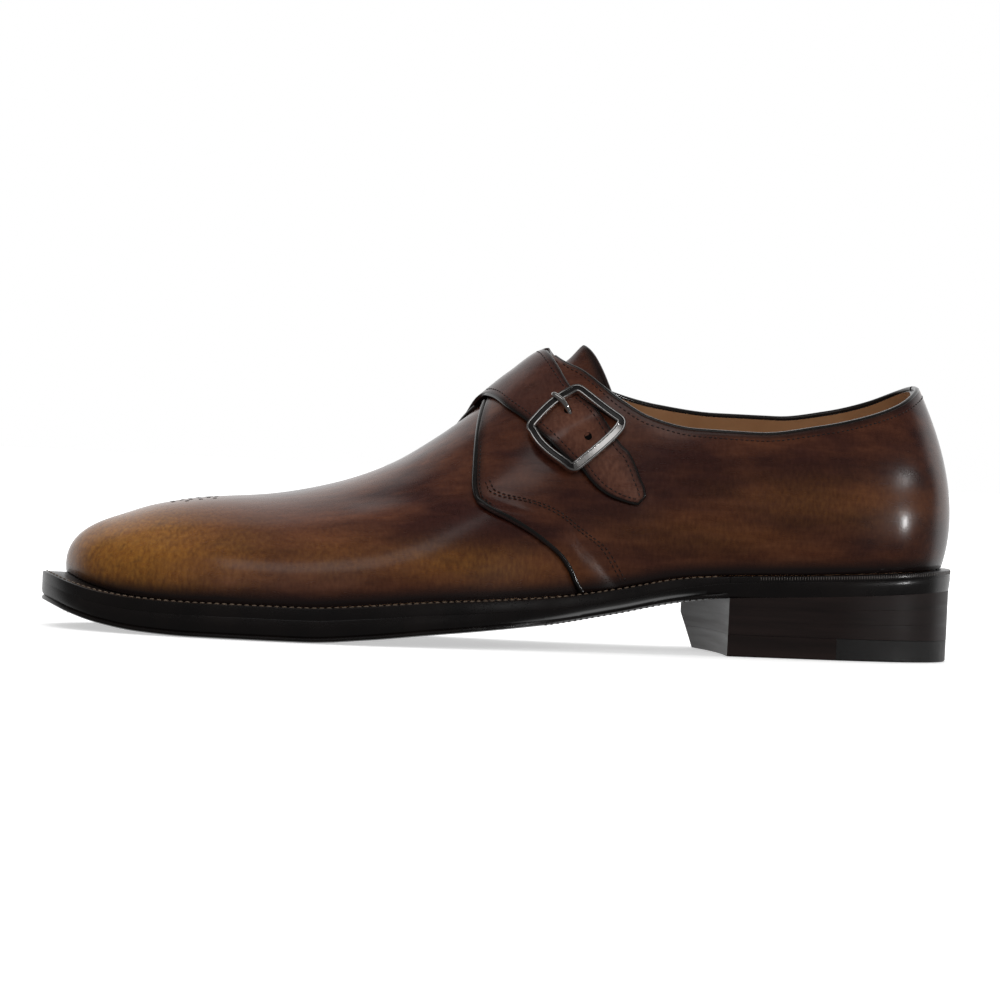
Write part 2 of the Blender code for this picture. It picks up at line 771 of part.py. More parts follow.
def build_heel():
    def start(share):
        return 0.0

    def lift_height(share_up):
        def height(station):
            return TOP_PIECE_THICKNESS + (sole_bottom(station) - TOP_PIECE_THICKNESS) * share_up

        return height

    for number in range(LIFT_COUNT):
        low = lift_height(number / LIFT_COUNT)
        high = lift_height((number + 1) / LIFT_COUNT)
        inset = HEEL_INSET + 0.15 * MM * (LIFT_COUNT - number)
        bm = slab(
            "lift",
            [
                heel_grid(start, breast, inset, lambda s: high(s) - CLEARANCE),
                heel_grid(start, breast, inset, lambda s: low(s)),
            ],
        )
        cut_notch(bm)
        add_object(f"heel_lift_{number + 1}", bm)

    inset = HEEL_INSET + 0.3 * MM
    top = TOP_PIECE_THICKNESS - CLEARANCE
    leather = slab(
        "leather",
        [
            heel_grid(lambda w: split(w) + SPLIT_GAP, breast, inset, lambda s: top, 8),
            heel_grid(lambda w: split(w) + SPLIT_GAP, breast, inset, lambda s: 0.4 * MM, 8),
            heel_grid(lambda w: split(w) + SPLIT_GAP, breast, inset + 0.4 * MM, lambda s: 0.0, 8),
        ],
    )
    cut_notch(leather)
    add_object("top_piece_leather", leather)
    rubber = slab(
        "rubber",
        [
            heel_grid(start, split, inset, lambda s: top, 12),
            heel_grid(start, split, inset, lambda s: 0.4 * MM, 12),
            heel_grid(start, split, inset + 0.4 * MM, lambda s: 0.0, 12),
        ],
    )
    add_object("top_piece_rubber", rubber)


def build_upper():
    rounds = [SIDE_END * k / COLLAR_STEPS for k in range(COLLAR_STEPS)]
    rounds += [SIDE_END + (THROAT_ROUND - SIDE_END) * (1 - (1 - k / 7) ** 1.6) for k in range(7)]
    rounds += [THROAT_ROUND + (1 - THROAT_ROUND) * k / VAMP_STEPS for k in range(VAMP_STEPS + 1)]
    girths = [k / GIRTH_STEPS for k in range(GIRTH_STEPS + 1)]
    grids = [
        [[upper_point(side, share, girth) for girth in girths] for share in rounds] for side in (LATERAL, MEDIAL)
    ]
    add_object("upper", thicken(grids, -WALL, 0.0))


def surface_normal(side, share_round, full_girth):
    """The direction out of the upper's surface."""
    step = 0.004
    back, front = share_round - step, share_round + step
    below = full_girth - step
    above = full_girth + step
    if above > collar_cut(side, station_of_round(share_round)):
        above = full_girth
    run = vault_point(side, front, min(full_girth, 1.0)) - vault_point(side, back, min(full_girth, 1.0))
    rise = vault_point(side, share_round, above) - vault_point(side, share_round, below)
    normal = run.cross(rise).normalized()
    return normal if normal.dot(Vector((0, side, 0.6))) > 0 else -normal


def raised(side, share_round, full_girth, height):
    """A point over the upper, at a height from its surface."""
    point = vault_point(side, share_round, full_girth)
    if height == 0:
        return point
    return point + surface_normal(side, share_round, full_girth) * height


STRAP_LIFT = PANEL + CLEARANCE
seam_round = {
    LATERAL: column(SEAMS, "girth", "lateral"),
    MEDIAL: column(SEAMS, "girth", "medial"),
}


def panel_rounds(side, girth):
    """Where the columns of a quarter stand at one girth, from the back strip to the vamp's seam."""
    start, end = STRIP_ROUND + 0.0012, seam_round[side](girth)
    rounds = [start] + [SIDE_END * k / COLLAR_STEPS for k in range(1, COLLAR_STEPS)]
    rear = SIDE_END + (end - SIDE_END) * (STRAP[0].rear_round - SIDE_END) / (STRAP[0].front_round - SIDE_END)
    rounds += [SIDE_END + (rear - SIDE_END) * step / REAR_STEPS for step in range(REAR_STEPS)]
    rounds += [rear + (end - rear) * step / STRAP_COLUMNS for step in range(STRAP_COLUMNS + 1)]
    return rounds


def build_quarter_lateral():
    rows = []
    for k in range(GIRTH_STEPS + 1):
        girth = k / GIRTH_STEPS
        row = []
        for share in panel_rounds(LATERAL, girth):
            reach = 1 - 0.045 * ease((share - 0.42) / 0.025)
            row.append(upper_point(LATERAL, share, girth * reach))
        rows.append(row)
    add_object("quarter_lateral", thicken([rows], CLEARANCE, CLEARANCE + PANEL))


def build_quarter_medial():
    """The inner side and the strap that grows out of its top, in one piece of leather."""
    rows, extra = [], []
    for k in range(GIRTH_STEPS + 1):
        girth = k / GIRTH_STEPS
        row, more = [], []
        for share in panel_rounds(MEDIAL, girth):
            swell_up = ease((girth - 0.84) / 0.14) * ease((share - 0.425) / 0.022)
            point = upper_point(MEDIAL, share, girth)
            if swell_up > 0:
                out = surface_normal(MEDIAL, share, min(girth, 0.999) * collar_cut(MEDIAL, station_of_round(share)))
                point += out * STRAP_LIFT * swell_up
            row.append(point)
            more.append((STRAP_THICKNESS - PANEL) * swell_up)
        rows.append(row)
        extra.append(more)
    top_row = rows[-1][-STRAP_COLUMNS - 1 :]

    strap_rows, strap_extra = [list(reversed(top_row))], [[STRAP_THICKNESS - PANEL] * (STRAP_COLUMNS + 1)]
    count = STRAP_STEPS
    for step in range(1, count + 1):
        way = (len(STRAP) - 1) * step / count
        row = []
        for k in range(STRAP_COLUMNS + 1):
            row.append(band_point(way, k / STRAP_COLUMNS, STRAP_LIFT + bar_bump(way)))
        strap_rows.append(row)
        strap_extra.append([STRAP_THICKNESS - PANEL] * (STRAP_COLUMNS + 1))
    solid = thicken([rows, strap_rows], CLEARANCE, CLEARANCE + PANEL, [extra, strap_extra])
    item = add_object("quarter_medial", solid)

    cut_low, cut_high = band_point(5.0, PRONG_SHARE, 1.6 * MM), band_point(4.4, PRONG_SHARE, 6.4 * MM)
    cutter = add_object("prong_hole", rod([cut_low, cut_high], [1.8 * MM, 1.8 * MM], 12))
    cutter.hide_render = True
    cutter.display_type = "WIRE"
    hole = item.modifiers.new("prong_hole", "BOOLEAN")
    hole.operation = "DIFFERENCE"
    hole.solver = "EXACT"
    hole.object = cutter


def bar_bump(way):
    """How far the strap climbs over the buckle's hidden middle bar."""
    return BAR_BUMP * math.exp(-(((way - MIDDLE_BAR_WAY) / 0.9) ** 2))


band_curves = {
    name: Curve(range(len(STRAP)), [getattr(row, name) for row in STRAP])
    for name in ("front_round", "front_girth", "rear_round", "rear_girth")
}


def band_point(way, share, height):
    """A point over the strap's path: way along it, share from its front edge to its rear edge."""
    front = band_curves["front_round"](way), band_curves["front_girth"](way)
    rear = band_curves["rear_round"](way), band_curves["rear_girth"](way)
    return raised(
        LATERAL,
        front[0] + (rear[0] - front[0]) * share,
        min(front[1] + (rear[1] - front[1]) * share, 0.9999),
        height,
    )


def rod(points, radii, sides=8, closed=False, up=None):
    """A round bar through points, with its own radius at each."""
    sections = []
    count = len(points)
    across_way = None
    for k, point in enumerate(points):
        before = points[(k - 1) % count] if closed or k else point
        after = points[(k + 1) % count] if closed or k < count - 1 else point
        run = (after - before).normalized()
        guide = up[k] if up else (across_way or Vector((0, 0, 1)))
        first = (guide - run * guide.dot(run)).normalized()
        if not up:
            across_way = first
        second = run.cross(first)
        ring = []
        for side in range(sides):
            turn = 2 * math.pi * side / sides
            ring.append(point + (first * math.cos(turn) + second * math.sin(turn)) * radii[k])
        sections.append(ring)
    return loft(sections, closed)


def build_tongue():
    rows = []
    for step in range(TONGUE_STEPS + 1):
        way = step / TONGUE_STEPS
        row = []
        for k in range(2 * TONGUE_COLUMNS + 1):
            side = LATERAL if k <= TONGUE_COLUMNS else MEDIAL
            girth = 1 - (1 - TONGUE_GIRTH) * abs(k - TONGUE_COLUMNS) / TONGUE_COLUMNS
            end = TONGUE_END - TONGUE_SWEEP * (1 - girth)
            share = TONGUE_START + (end - TONGUE_START) * way
            station = station_of_round(share)
            held = max(station, THROAT)
            curve = vault_curve(side, station, foot_point(side, station), swell_height(held), top_lean(held))
            point = bezier(*curve, girth)
            beyond = ease((THROAT_ROUND - 0.006 - share) / (THROAT_ROUND - 0.006 - TONGUE_END))
            cut = collar_cut(side, station)
            point.z += TONGUE_RISE * beyond * ease((girth - cut) / (1.15 - cut))
            row.append(point)
        rows.append(row)
    high = -WALL - 0.8 * MM
    add_object("tongue", thicken([rows], high - TONGUE_THICKNESS, high))


def build_back_strip():
    rows = []
    for k in range(GIRTH_STEPS + 1):
        girth = k / GIRTH_STEPS
        row = [upper_point(LATERAL, STRIP_ROUND * share, girth) for share in (1, 0.5, 0)]
        row += [upper_point(MEDIAL, STRIP_ROUND * share, girth) for share in (0.5, 1)]
        rows.append(row)
    add_object("back_strip", thicken([rows], CLEARANCE, CLEARANCE + BACK_STRIP_THICKNESS))


def build_buckle():
    """A rounded frame over the strap, with a middle bar that passes under it."""
    path, outs, radii = [], [], []
    corners = [(row.round, row.girth) for row in FRAME]
    count = len(corners)
    points = []
    for k, corner in enumerate(corners):
        before, after = corners[k - 1], corners[(k + 1) % count]
        soft = 0.2
        start = [corner[i] + (before[i] - corner[i]) * soft for i in (0, 1)]
        finish = [corner[i] + (after[i] - corner[i]) * soft for i in (0, 1)]
        for share in (0.0, 0.25, 0.5, 0.75, 1.0):
            points.append(
                [
                    (1 - share) ** 2 * start[i] + 2 * share * (1 - share) * corner[i] + share**2 * finish[i]
                    for i in (0, 1)
                ]
            )
        following = [after[i] + (corner[i] - after[i]) * soft for i in (0, 1)]
        for share in (0.25, 0.5, 0.75):
            bow = FRAME[k].bow * 4 * share * (1 - share)
            points.append([finish[i] + (following[i] - finish[i]) * share + bow * (1, -1)[i] for i in (0, 1)])
    height = CLEARANCE + STRAP_LIFT + STRAP_THICKNESS + CLEARANCE + BAR_RADIUS
    for share, girth in points:
        path.append(raised(LATERAL, share, girth, height))
        outs.append(surface_normal(LATERAL, share, girth))
    frame = add_object("buckle_frame", rod(path, [BAR_RADIUS] * len(path), 8, True, outs))

    left = (0.468, 0.484)
    right = (0.4105, 0.590)
    bar_points, bar_radii = [], []
    for step in range(15):
        share = step / 14
        place = [left[i] + (right[i] - left[i]) * share for i in (0, 1)]
        ends = abs(2 * share - 1) ** 10
        bar_points.append(raised(LATERAL, place[0], place[1], 2.7 * MM + ends * (height - 2.9 * MM)))
        bar_radii.append(MIDDLE_BAR_RADIUS)
    bar = add_object("middle_bar", rod(bar_points, bar_radii, 8))
    bar.hide_render = True
    bar.display_type = "WIRE"
    join = frame.modifiers.new("middle_bar", "BOOLEAN")
    join.operation = "UNION"
    join.solver = "EXACT"
    join.object = bar

    pin = [band_point(row.way, PRONG_SHARE, row.height * MM) for row in PRONG]
    add_object("buckle_prong", rod(pin, [row.radius * MM for row in PRONG], 10))


def main():
    clear_scene()
    build_outsole()
    build_welt()
    build_insole()
    build_heel()
    build_upper()
    build_quarter_lateral()
    build_quarter_medial()
    build_tongue()
    build_back_strip()
    build_buckle()


main()
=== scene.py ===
"""Looks of a monk strap shoe for the left foot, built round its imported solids.

The shoe lies along X with its toe towards -X. Its outer (lateral) side faces -Y, and the floor is Z = 0.
A station is a place along the sole, from the back of the heel (0) to the toe tip (1).
A place on the upper is given by two shares: round, measured along the sole's edge from the back seam (0)
to the toe tip (1), and girth, from the feather edge at the welt (0) up to the topline or the ridge (1).
"""

import logging
import math
from dataclasses import dataclass
from enum import Enum
from typing import Callable, Iterable, NamedTuple, Sequence

import bmesh
import bpy
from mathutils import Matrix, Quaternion, Vector

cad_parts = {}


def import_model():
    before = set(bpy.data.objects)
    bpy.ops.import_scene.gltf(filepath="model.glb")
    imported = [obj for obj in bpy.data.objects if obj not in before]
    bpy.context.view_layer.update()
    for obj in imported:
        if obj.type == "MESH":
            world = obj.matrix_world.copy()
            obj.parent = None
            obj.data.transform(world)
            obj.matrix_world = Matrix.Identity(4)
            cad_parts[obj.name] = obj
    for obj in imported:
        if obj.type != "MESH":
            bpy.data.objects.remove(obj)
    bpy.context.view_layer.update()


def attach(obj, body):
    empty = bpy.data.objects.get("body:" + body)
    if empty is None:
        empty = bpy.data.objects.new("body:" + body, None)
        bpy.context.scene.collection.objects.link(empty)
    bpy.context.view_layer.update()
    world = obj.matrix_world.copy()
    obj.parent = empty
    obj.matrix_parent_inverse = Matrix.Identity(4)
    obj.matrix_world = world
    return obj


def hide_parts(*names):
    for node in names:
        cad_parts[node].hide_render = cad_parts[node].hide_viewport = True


LOG = logging.getLogger("monk_strap_shoe")

MM = 0.001
BODY = "root"
MERGE = 0.004 * MM

Item = bpy.types.Object
Material = bpy.types.Material
Node = bpy.types.Node
Socket = bpy.types.NodeSocket
Finishes = dict[str, bpy.types.Material]
Groups = dict[str, bpy.types.NodeTree]
Triple = tuple[float, float, float]
Reader = Callable[[float], float]
Path = Callable[[float], Vector]
Row = tuple[Path, Path]
Placer = Callable[[float, float], Vector]
Steps = Sequence[tuple[float, Reader]]
Columns = dict[str, list[float]]
Mask = Callable[[Vector, float, float], float]


class Side(Enum):
    """The two sides of the shoe, valued by their direction along Y."""

    LATERAL = -1
    MEDIAL = 1

    @property
    def label(self) -> str:
        """The side's name in small letters, as the tables and pieces have it."""
        return self.name.lower()


# The shape of the last and the sole


class Curve:
    """A smooth curve through table rows that never overshoots them."""

    def __init__(self, places: Sequence[float], values: Sequence[float]) -> None:
        """Fit the curve.

        Args:
            places: where the rows stand, rising.
            values: the value at each place.
        """
        self.places = list(places)
        self.values = list(values)
        count = len(self.places)
        self.runs = [self.places[k + 1] - self.places[k] for k in range(count - 1)]
        rises = [(self.values[k + 1] - self.values[k]) / self.runs[k] for k in range(count - 1)]
        self.slopes = [rises[0]] * count
        self.slopes[-1] = rises[-1]
        for k in range(1, count - 1):
            before, after = rises[k - 1], rises[k]
            if before * after <= 0:
                self.slopes[k] = 0.0
            else:
                first = 2 * self.runs[k] + self.runs[k - 1]
                second = self.runs[k] + 2 * self.runs[k - 1]
                self.slopes[k] = (first + second) / (first / before + second / after)

    def __call__(self, place: float) -> float:
        """Read the curve.

        Args:
            place: where to read it; outside the rows, the nearest row counts.

        Returns:
            The value there.
        """
        place = min(max(place, self.places[0]), self.places[-1])
        k = 0
        while k < len(self.runs) - 1 and place > self.places[k + 1]:
            k += 1
        run = self.runs[k]
        share = (place - self.places[k]) / run
        square, cube = share * share, share * share * share
        return (
            (2 * cube - 3 * square + 1) * self.values[k]
            + (cube - 2 * square + share) * run * self.slopes[k]
            + (3 * square - 2 * cube) * self.values[k + 1]
            + (cube - square) * run * self.slopes[k + 1]
        )


def table(names: str, *rows: tuple[float, ...]) -> Columns:
    """A table's columns by name."""
    return {name: [row[k] for row in rows] for k, name in enumerate(names.split())}


# Lengths are shares of the sole's length, ball width, heights and thicknesses, as Last scales them.
SOLE_PLAN = table(
    "station centre half margin",
    (0, 0, 0, 0.048), (0.012, 0, 0.136, 0.046), (0.04, 0, 0.228, 0.043), (0.09, 0, 0.292, 0.038),
    (0.16, 0, 0.319, 0.034), (0.24, -0.005, 0.316, 0.034), (0.32, -0.021, 0.304, 0.04),
    (0.4, -0.042, 0.309, 0.047), (0.48, -0.053, 0.34, 0.052), (0.56, -0.051, 0.396, 0.054),
    (0.64, -0.033, 0.455, 0.055), (0.7, -0.012, 0.488, 0.055), (0.76, 0.008, 0.493, 0.056),
    (0.82, 0.022, 0.468, 0.058), (0.88, 0.029, 0.408, 0.061), (0.93, 0.034, 0.33, 0.065),
    (0.965, 0.037, 0.236, 0.069), (0.988, 0.039, 0.139, 0.073), (1, 0.039, 0, 0.075),
)
SOLE_SIDE = table(
    "station arch spring sole welt bevel",
    (0, 1.167, 0, 0.72, 0.48, 0), (0.1, 1.06, 0, 0.72, 0.48, 0), (0.18, 0.99, 0, 0.72, 0.48, 0),
    (0.277, 0.915, 0, 0.72, 0.52, 0.2), (0.33, 0.81, 0, 0.7, 0.75, 0.8), (0.4, 0.59, 0, 0.7, 0.88, 1),
    (0.47, 0.4, 0, 0.76, 0.93, 0.8), (0.54, 0.28, 0, 0.84, 0.96, 0.3), (0.61, 0.18, 0, 0.92, 1, 0),
    (0.68, 0.07, 0, 0.98, 1, 0), (0.745, 0, 0, 1, 1, 0), (0.86, 0, 0, 1, 1, 0), (0.91, 0, 0.08, 0.97, 1, 0),
    (0.95, 0, 0.3, 0.92, 0.97, 0), (0.98, 0, 0.64, 0.88, 0.94, 0), (1, 0, 1, 0.84, 0.9, 0),
)
# How a girth of the upper swells and leans
SECTIONS = table(
    "station out_lateral out_medial low lean drop",
    (0, 0.056, 0.056, 0.3, 0.103, 0.33), (0.04, 0.052, 0.052, 0.3, 0.09, 0.34),
    (0.09, 0.044, 0.044, 0.3, 0.068, 0.36), (0.16, 0.036, 0.036, 0.3, 0.05, 0.38),
    (0.24, 0.03, 0.032, 0.3, 0.045, 0.38), (0.32, 0.03, 0.04, 0.3, 0.062, 0.34),
    (0.39, 0.034, 0.05, 0.3, 0.1, 0.27), (0.45, 0.036, 0.052, 0.37, 0.205, 0),
    (0.5, 0.038, 0.05, 0.42, 0.205, 0), (0.55, 0.038, 0.046, 0.46, 0.215, 0),
    (0.65, 0.032, 0.038, 0.52, 0.25, 0), (0.75, 0.026, 0.03, 0.55, 0.27, 0),
    (0.85, 0.018, 0.018, 0.56, 0.25, 0), (0.92, 0.016, 0.016, 0.58, 0.195, 0),
    (0.96, 0.016, 0.016, 0.58, 0.143, 0), (1, 0.016, 0.016, 0.58, 0.086, 0),
)
# Which station of the topline a girth reaches from its station on the feather edge
LEANS = table(
    "feather top",
    (0, 0.05), (0.04, 0.073), (0.09, 0.11), (0.16, 0.168), (0.24, 0.245), (0.32, 0.325), (0.39, 0.405),
    (0.45, 0.461), (0.55, 0.556), (0.65, 0.652), (0.75, 0.747), (0.85, 0.835), (0.92, 0.888), (0.96, 0.91),
    (1, 0.925),
)
# The collar's edge
TOPLINE = table(
    "station centre half_lateral half_medial lateral medial",
    (0.05, 0, 0, 0, 1, 1), (0.057, 0, 0.092, 0.092, 0.982, 0.984), (0.083, 0, 0.178, 0.178, 0.928, 0.938),
    (0.125, 0, 0.23, 0.23, 0.876, 0.896), (0.18, -0.002, 0.258, 0.258, 0.832, 0.868),
    (0.25, -0.005, 0.268, 0.262, 0.797, 0.868), (0.32, -0.004, 0.262, 0.24, 0.8, 0.888),
    (0.37, 0, 0.242, 0.2, 0.834, 0.92), (0.405, 0.004, 0.203, 0.155, 0.896, 0.954),
    (0.435, 0.008, 0.132, 0.1, 0.985, 1.01), (0.461, 0.01, 0, 0, 1.049, 1.049),
)
# The line along the top of the vamp
RIDGE = table(
    "station side height",
    (0.38, 0.002, 1.005), (0.405, 0.004, 1.01), (0.435, 0.008, 1.006), (0.461, 0.01, 1),
    (0.5, 0.018, 0.915), (0.54, 0.028, 0.804), (0.58, 0.037, 0.704), (0.63, 0.046, 0.602),
    (0.69, 0.052, 0.528), (0.76, 0.053, 0.48), (0.83, 0.049, 0.458), (0.88, 0.045, 0.428),
    (0.925, 0.041, 0.38),
)
# How far round the two quarters reach at a girth
SEAMS = table(
    "girth lateral medial",
    (0, 0.434, 0.44), (0.125, 0.455, 0.458), (0.2, 0.477, 0.47), (0.3, 0.51, 0.49), (0.37, 0.531, 0.505),
    (0.42, 0.5395, 0.515), (0.46, 0.5405, 0.522), (0.56, 0.537, 0.534), (0.68, 0.531, 0.5375),
    (0.82, 0.522, 0.528), (1, 0.508, 0.508),
)
# The strap's two edges, step by step down its path, in full girths
STRAP = table(
    "front_round front_girth rear_round rear_girth",
    (0.508, 1, 0.45, 1), (0.503, 0.88, 0.449, 0.89), (0.496, 0.75, 0.446, 0.785),
    (0.486, 0.656, 0.441, 0.706), (0.477, 0.592, 0.432, 0.659), (0.468, 0.528, 0.42, 0.606),
    (0.458, 0.473, 0.41, 0.552), (0.447, 0.432, 0.402, 0.506), (0.436, 0.405, 0.395, 0.46),
    (0.428, 0.37, 0.387, 0.425), (0.418, 0.335, 0.382, 0.385), (0.406, 0.308, 0.378, 0.342),
    (0.392, 0.286, 0.374, 0.302), (0.381, 0.268, 0.373, 0.278),
)
STRAP_WAYS = len(STRAP["front_round"]) - 1


def column(rows: Columns, place: str, value: str, scale: float = 1.0) -> Curve:
    """One named column of a table over another, at the size that its shares are of."""
    return Curve(rows[place], [number * scale for number in rows[value]])


def round_column(rows: Columns, place: str, value: str, scale: float) -> Reader:
    """A half width that closes in a round end, so its square is what runs smoothly."""
    square = Curve(rows[place], [(number * scale) ** 2 for number in rows[value]])
    return lambda at: math.sqrt(max(square(at), 0.0))


def ease(share: float) -> float:
    """A soft step from 0 to 1."""
    share = min(max(share, 0.0), 1.0)
    return share * share * (3 - 2 * share)


def bell(distance: float, width: float) -> float:
    """A soft bump that falls from 1 over a width."""
    return math.exp(-((distance / width) ** 2))


def bezier(hull: Sequence[Vector], share: float) -> Vector:
    """A point of the curve with four hull points, at a share along it."""
    left, (foot, low, high, top) = 1 - share, hull
    return foot * left**3 + low * (3 * left**2 * share) + high * (3 * left * share**2) + top * share**3


@dataclass
class Last:
    """The shape that the shoe is made over, with the sole's own outline and heights."""

    length: float = 310 * MM
    ball_width: float = 103 * MM
    seat_height: float = 21 * MM
    toe_spring: float = 8.2 * MM
    back_height: float = 92.5 * MM
    instep_height: float = 97 * MM
    outsole_thickness: float = 7 * MM
    welt_thickness: float = 3.7 * MM
    clearance: float = 0.3 * MM
    bevel: float = 4.5 * MM
    throat: float = 0.45
    vault_start: float = 0.34
    vault_full: float = 0.40

    def __post_init__(self) -> None:
        """Read the tables at this shoe's sizes."""
        width = self.ball_width
        self.centre = column(SOLE_PLAN, "station", "centre", width)
        self.half = round_column(SOLE_PLAN, "station", "half", width)
        self.margin = column(SOLE_PLAN, "station", "margin", width)
        self.arch = column(SOLE_SIDE, "station", "arch", self.seat_height)
        self.spring = column(SOLE_SIDE, "station", "spring", self.toe_spring)
        self.sole_share = column(SOLE_SIDE, "station", "sole", self.outsole_thickness)
        self.welt_share = column(SOLE_SIDE, "station", "welt", self.welt_thickness)
        self.bevel_depth = column(SOLE_SIDE, "station", "bevel", self.bevel)
        self.top_station = column(LEANS, "feather", "top")
        self.swell = {side: column(SECTIONS, "station", f"out_{side.label}", width) for side in Side}
        self.low = column(SECTIONS, "station", "low")
        self.lean = column(SECTIONS, "station", "lean", width)
        self.drop = column(SECTIONS, "station", "drop")
        self.collar_centre = column(TOPLINE, "station", "centre", width)
        self.collar_half = {
            side: round_column(TOPLINE, "station", f"half_{side.label}", width) for side in Side
        }
        self.collar_height = {side: column(TOPLINE, "station", side.label, self.back_height) for side in Side}
        self.ridge_side = column(RIDGE, "station", "side", width)
        self.ridge_height = column(RIDGE, "station", "height", self.instep_height)
        self.seam = {side: column(SEAMS, "girth", side.label) for side in Side}
        self.band = {name: Curve(range(STRAP_WAYS + 1), numbers) for name, numbers in STRAP.items()}
        self._cuts: dict[tuple[Side, float], float] = {}
        self._measure_edge()
        self.throat_round = self.round_of(self.throat)

    def _measure_edge(self) -> None:
        """Find the station of each share round the sole's edge, and back."""
        fine = [(1 - math.cos(math.pi * k / 300)) / 2 for k in range(301)]
        points = [self.outline(Side.LATERAL, station) for station in fine]
        lengths = [0.0]
        for before, after in zip(points, points[1:]):
            lengths.append(lengths[-1] + (after - before).length)
        shares = [length / lengths[-1] for length in lengths]
        self.station_of = Curve(shares, fine)
        self.round_of = Curve(fine, shares)

    def along(self, station: float) -> float:
        """X of a station."""
        return self.length * (0.5 - station)

    def bottom(self, station: float) -> float:
        """Height of the sole's underside."""
        return self.arch(station) + self.spring(station)

    def sole_top(self, station: float) -> float:
        """Height of the outsole's top."""
        return self.bottom(station) + self.sole_share(station)

    def welt_top(self, station: float) -> float:
        """Height of the welt's top."""
        return self.sole_top(station) + self.clearance + self.welt_share(station)

    def outline(self, side: Side, station: float) -> Vector:
        """A point of the sole's edge in plan."""
        return Vector((self.along(station), self.centre(station) + side.value * self.half(station), 0))

    def outward(self, side: Side, station: float) -> Vector:
        """The direction out of the sole's edge in plan.

        Args:
            side: which edge.
            station: where along the sole.

        Returns:
            A level direction of length 1.
        """
        step = 0.0015
        other = Side.MEDIAL if side is Side.LATERAL else Side.LATERAL
        if station < step:
            before, after = self.outline(other, step - station), self.outline(side, station + step)
        elif station > 1 - step:
            before, after = self.outline(side, station - step), self.outline(other, 2 - step - station)
        else:
            before, after = self.outline(side, station - step), self.outline(side, station + step)
        run = after - before
        return Vector((side.value * run.y, -side.value * run.x, 0)).normalized()

    def edge(self, side: Side, station: float, inset: float, height: float = 0.0) -> Vector:
        """A point set in from the sole's edge.

        Args:
            side: which edge.
            station: where along the sole.
            inset: how far in.
            height: its height.

        Returns:
            The point.
        """
        point = self.outline(side, station) - self.outward(side, station) * inset
        point.z = height
        return point

    def across(self, station: float, share: float, inset: float, height: float) -> Vector:
        """A point between the two edges of the sole.

        Args:
            station: where along the sole.
            share: from -1 on the lateral side to 1 on the medial side.
            inset: how far in the ends of that line are.
            height: its height.

        Returns:
            The point.
        """
        lateral = self.edge(Side.LATERAL, station, inset)
        point = lateral.lerp(self.edge(Side.MEDIAL, station, inset), (1 + share) / 2)
        point.z = height
        return point

    def foot(self, side: Side, station: float) -> Vector:
        """Where the upper meets the welt."""
        return self.edge(side, station, self.margin(station), self.welt_top(station) + self.clearance)

    def vault(self, side: Side, station: float, held: float) -> list[Vector]:
        """The girth that runs right up to the ridge.

        Args:
            side: which side.
            station: its station on the feather edge.
            held: the station whose swelling and lean shape it.

        Returns:
            The four points of its curve.
        """
        foot = self.foot(side, station)
        reach = self.top_station(station)
        top = Vector((self.along(reach), self.ridge_side(reach), self.ridge_height(reach)))
        forward = max(top.x - foot.x, 0.0) if station > 0.8 else 0.0
        top_out = Vector((-forward, foot.y - top.y, 0)).normalized()
        nearest = min(reach, 0.921)
        step = 0.004
        rise = self.ridge_height(nearest + step) - self.ridge_height(nearest - step)
        slope = rise / (2 * step * self.length)
        low = foot + self.outward(side, station) * self.swell[side](station)
        low.z += self.low(held) * (top.z - foot.z)
        lean = self.lean(held)
        high = top + top_out * lean
        high.z -= slope * top_out.x * lean
        return [foot, low, high, top]

    def rim(self, side: Side, station: float) -> Vector:
        """The end of a girth on the topline."""
        reach = self.top_station(station)
        half = self.collar_centre(reach) + side.value * self.collar_half[side](reach)
        return Vector((self.along(reach), half, self.collar_height[side](reach)))

    def collar(self, side: Side, station: float) -> list[Vector]:
        """The girth that ends at the topline, as the four points of its curve."""
        foot, top = self.foot(side, station), self.rim(side, station)
        out = self.outward(side, station)
        top_out = out.lerp(Vector((0, side.value, 0)), min(station / self.throat, 1.0)).normalized()
        height = top.z - foot.z
        low = foot + out * self.swell[side](station)
        low.z += self.low(station) * height
        high = top + top_out * self.lean(station)
        high.z -= self.drop(station) * height
        return [foot, low, high, top]

    def cut(self, side: Side, station: float) -> float:
        """At what share of the full girth the collar's edge cuts it off.

        Args:
            side: which side.
            station: its station on the feather edge.

        Returns:
            The share, which is 1 in front of the throat.
        """
        if station >= self.throat:
            return 1.0
        station = max(station, self.vault_start)
        key = (side, round(station, 5))
        if key not in self._cuts:
            vault = self.vault(side, station, self.throat)
            target = abs(self.rim(side, station).y - vault[3].y)
            below, above = 0.3, 1.0
            for _ in range(24):
                middle = (below + above) / 2
                if abs(bezier(vault, middle).y - vault[3].y) > target:
                    below = middle
                else:
                    above = middle
            self._cuts[key] = above
        return self._cuts[key]

    def point(self, side: Side, share_round: float, girth: float) -> Vector:
        """A point on the outside of the upper.

        Args:
            side: which side.
            share_round: how far round from the back seam.
            girth: how far up from the feather edge to the topline or the ridge.

        Returns:
            The point.
        """
        station = self.station_of(share_round)
        if share_round >= self.throat_round:
            return bezier(self.vault(side, station, station), girth)
        collar = self.collar(side, station)
        if station < self.vault_start:
            return bezier(collar, girth)
        vault = self.vault(side, station, self.throat)
        cut = self.cut(side, station)
        blend = ease((station - self.vault_start) / (self.vault_full - self.vault_start))
        point = bezier(collar, girth).lerp(bezier(vault, girth * cut), blend)
        point.z += blend * (collar[3].z - bezier(vault, cut).z) * girth**3
        return point

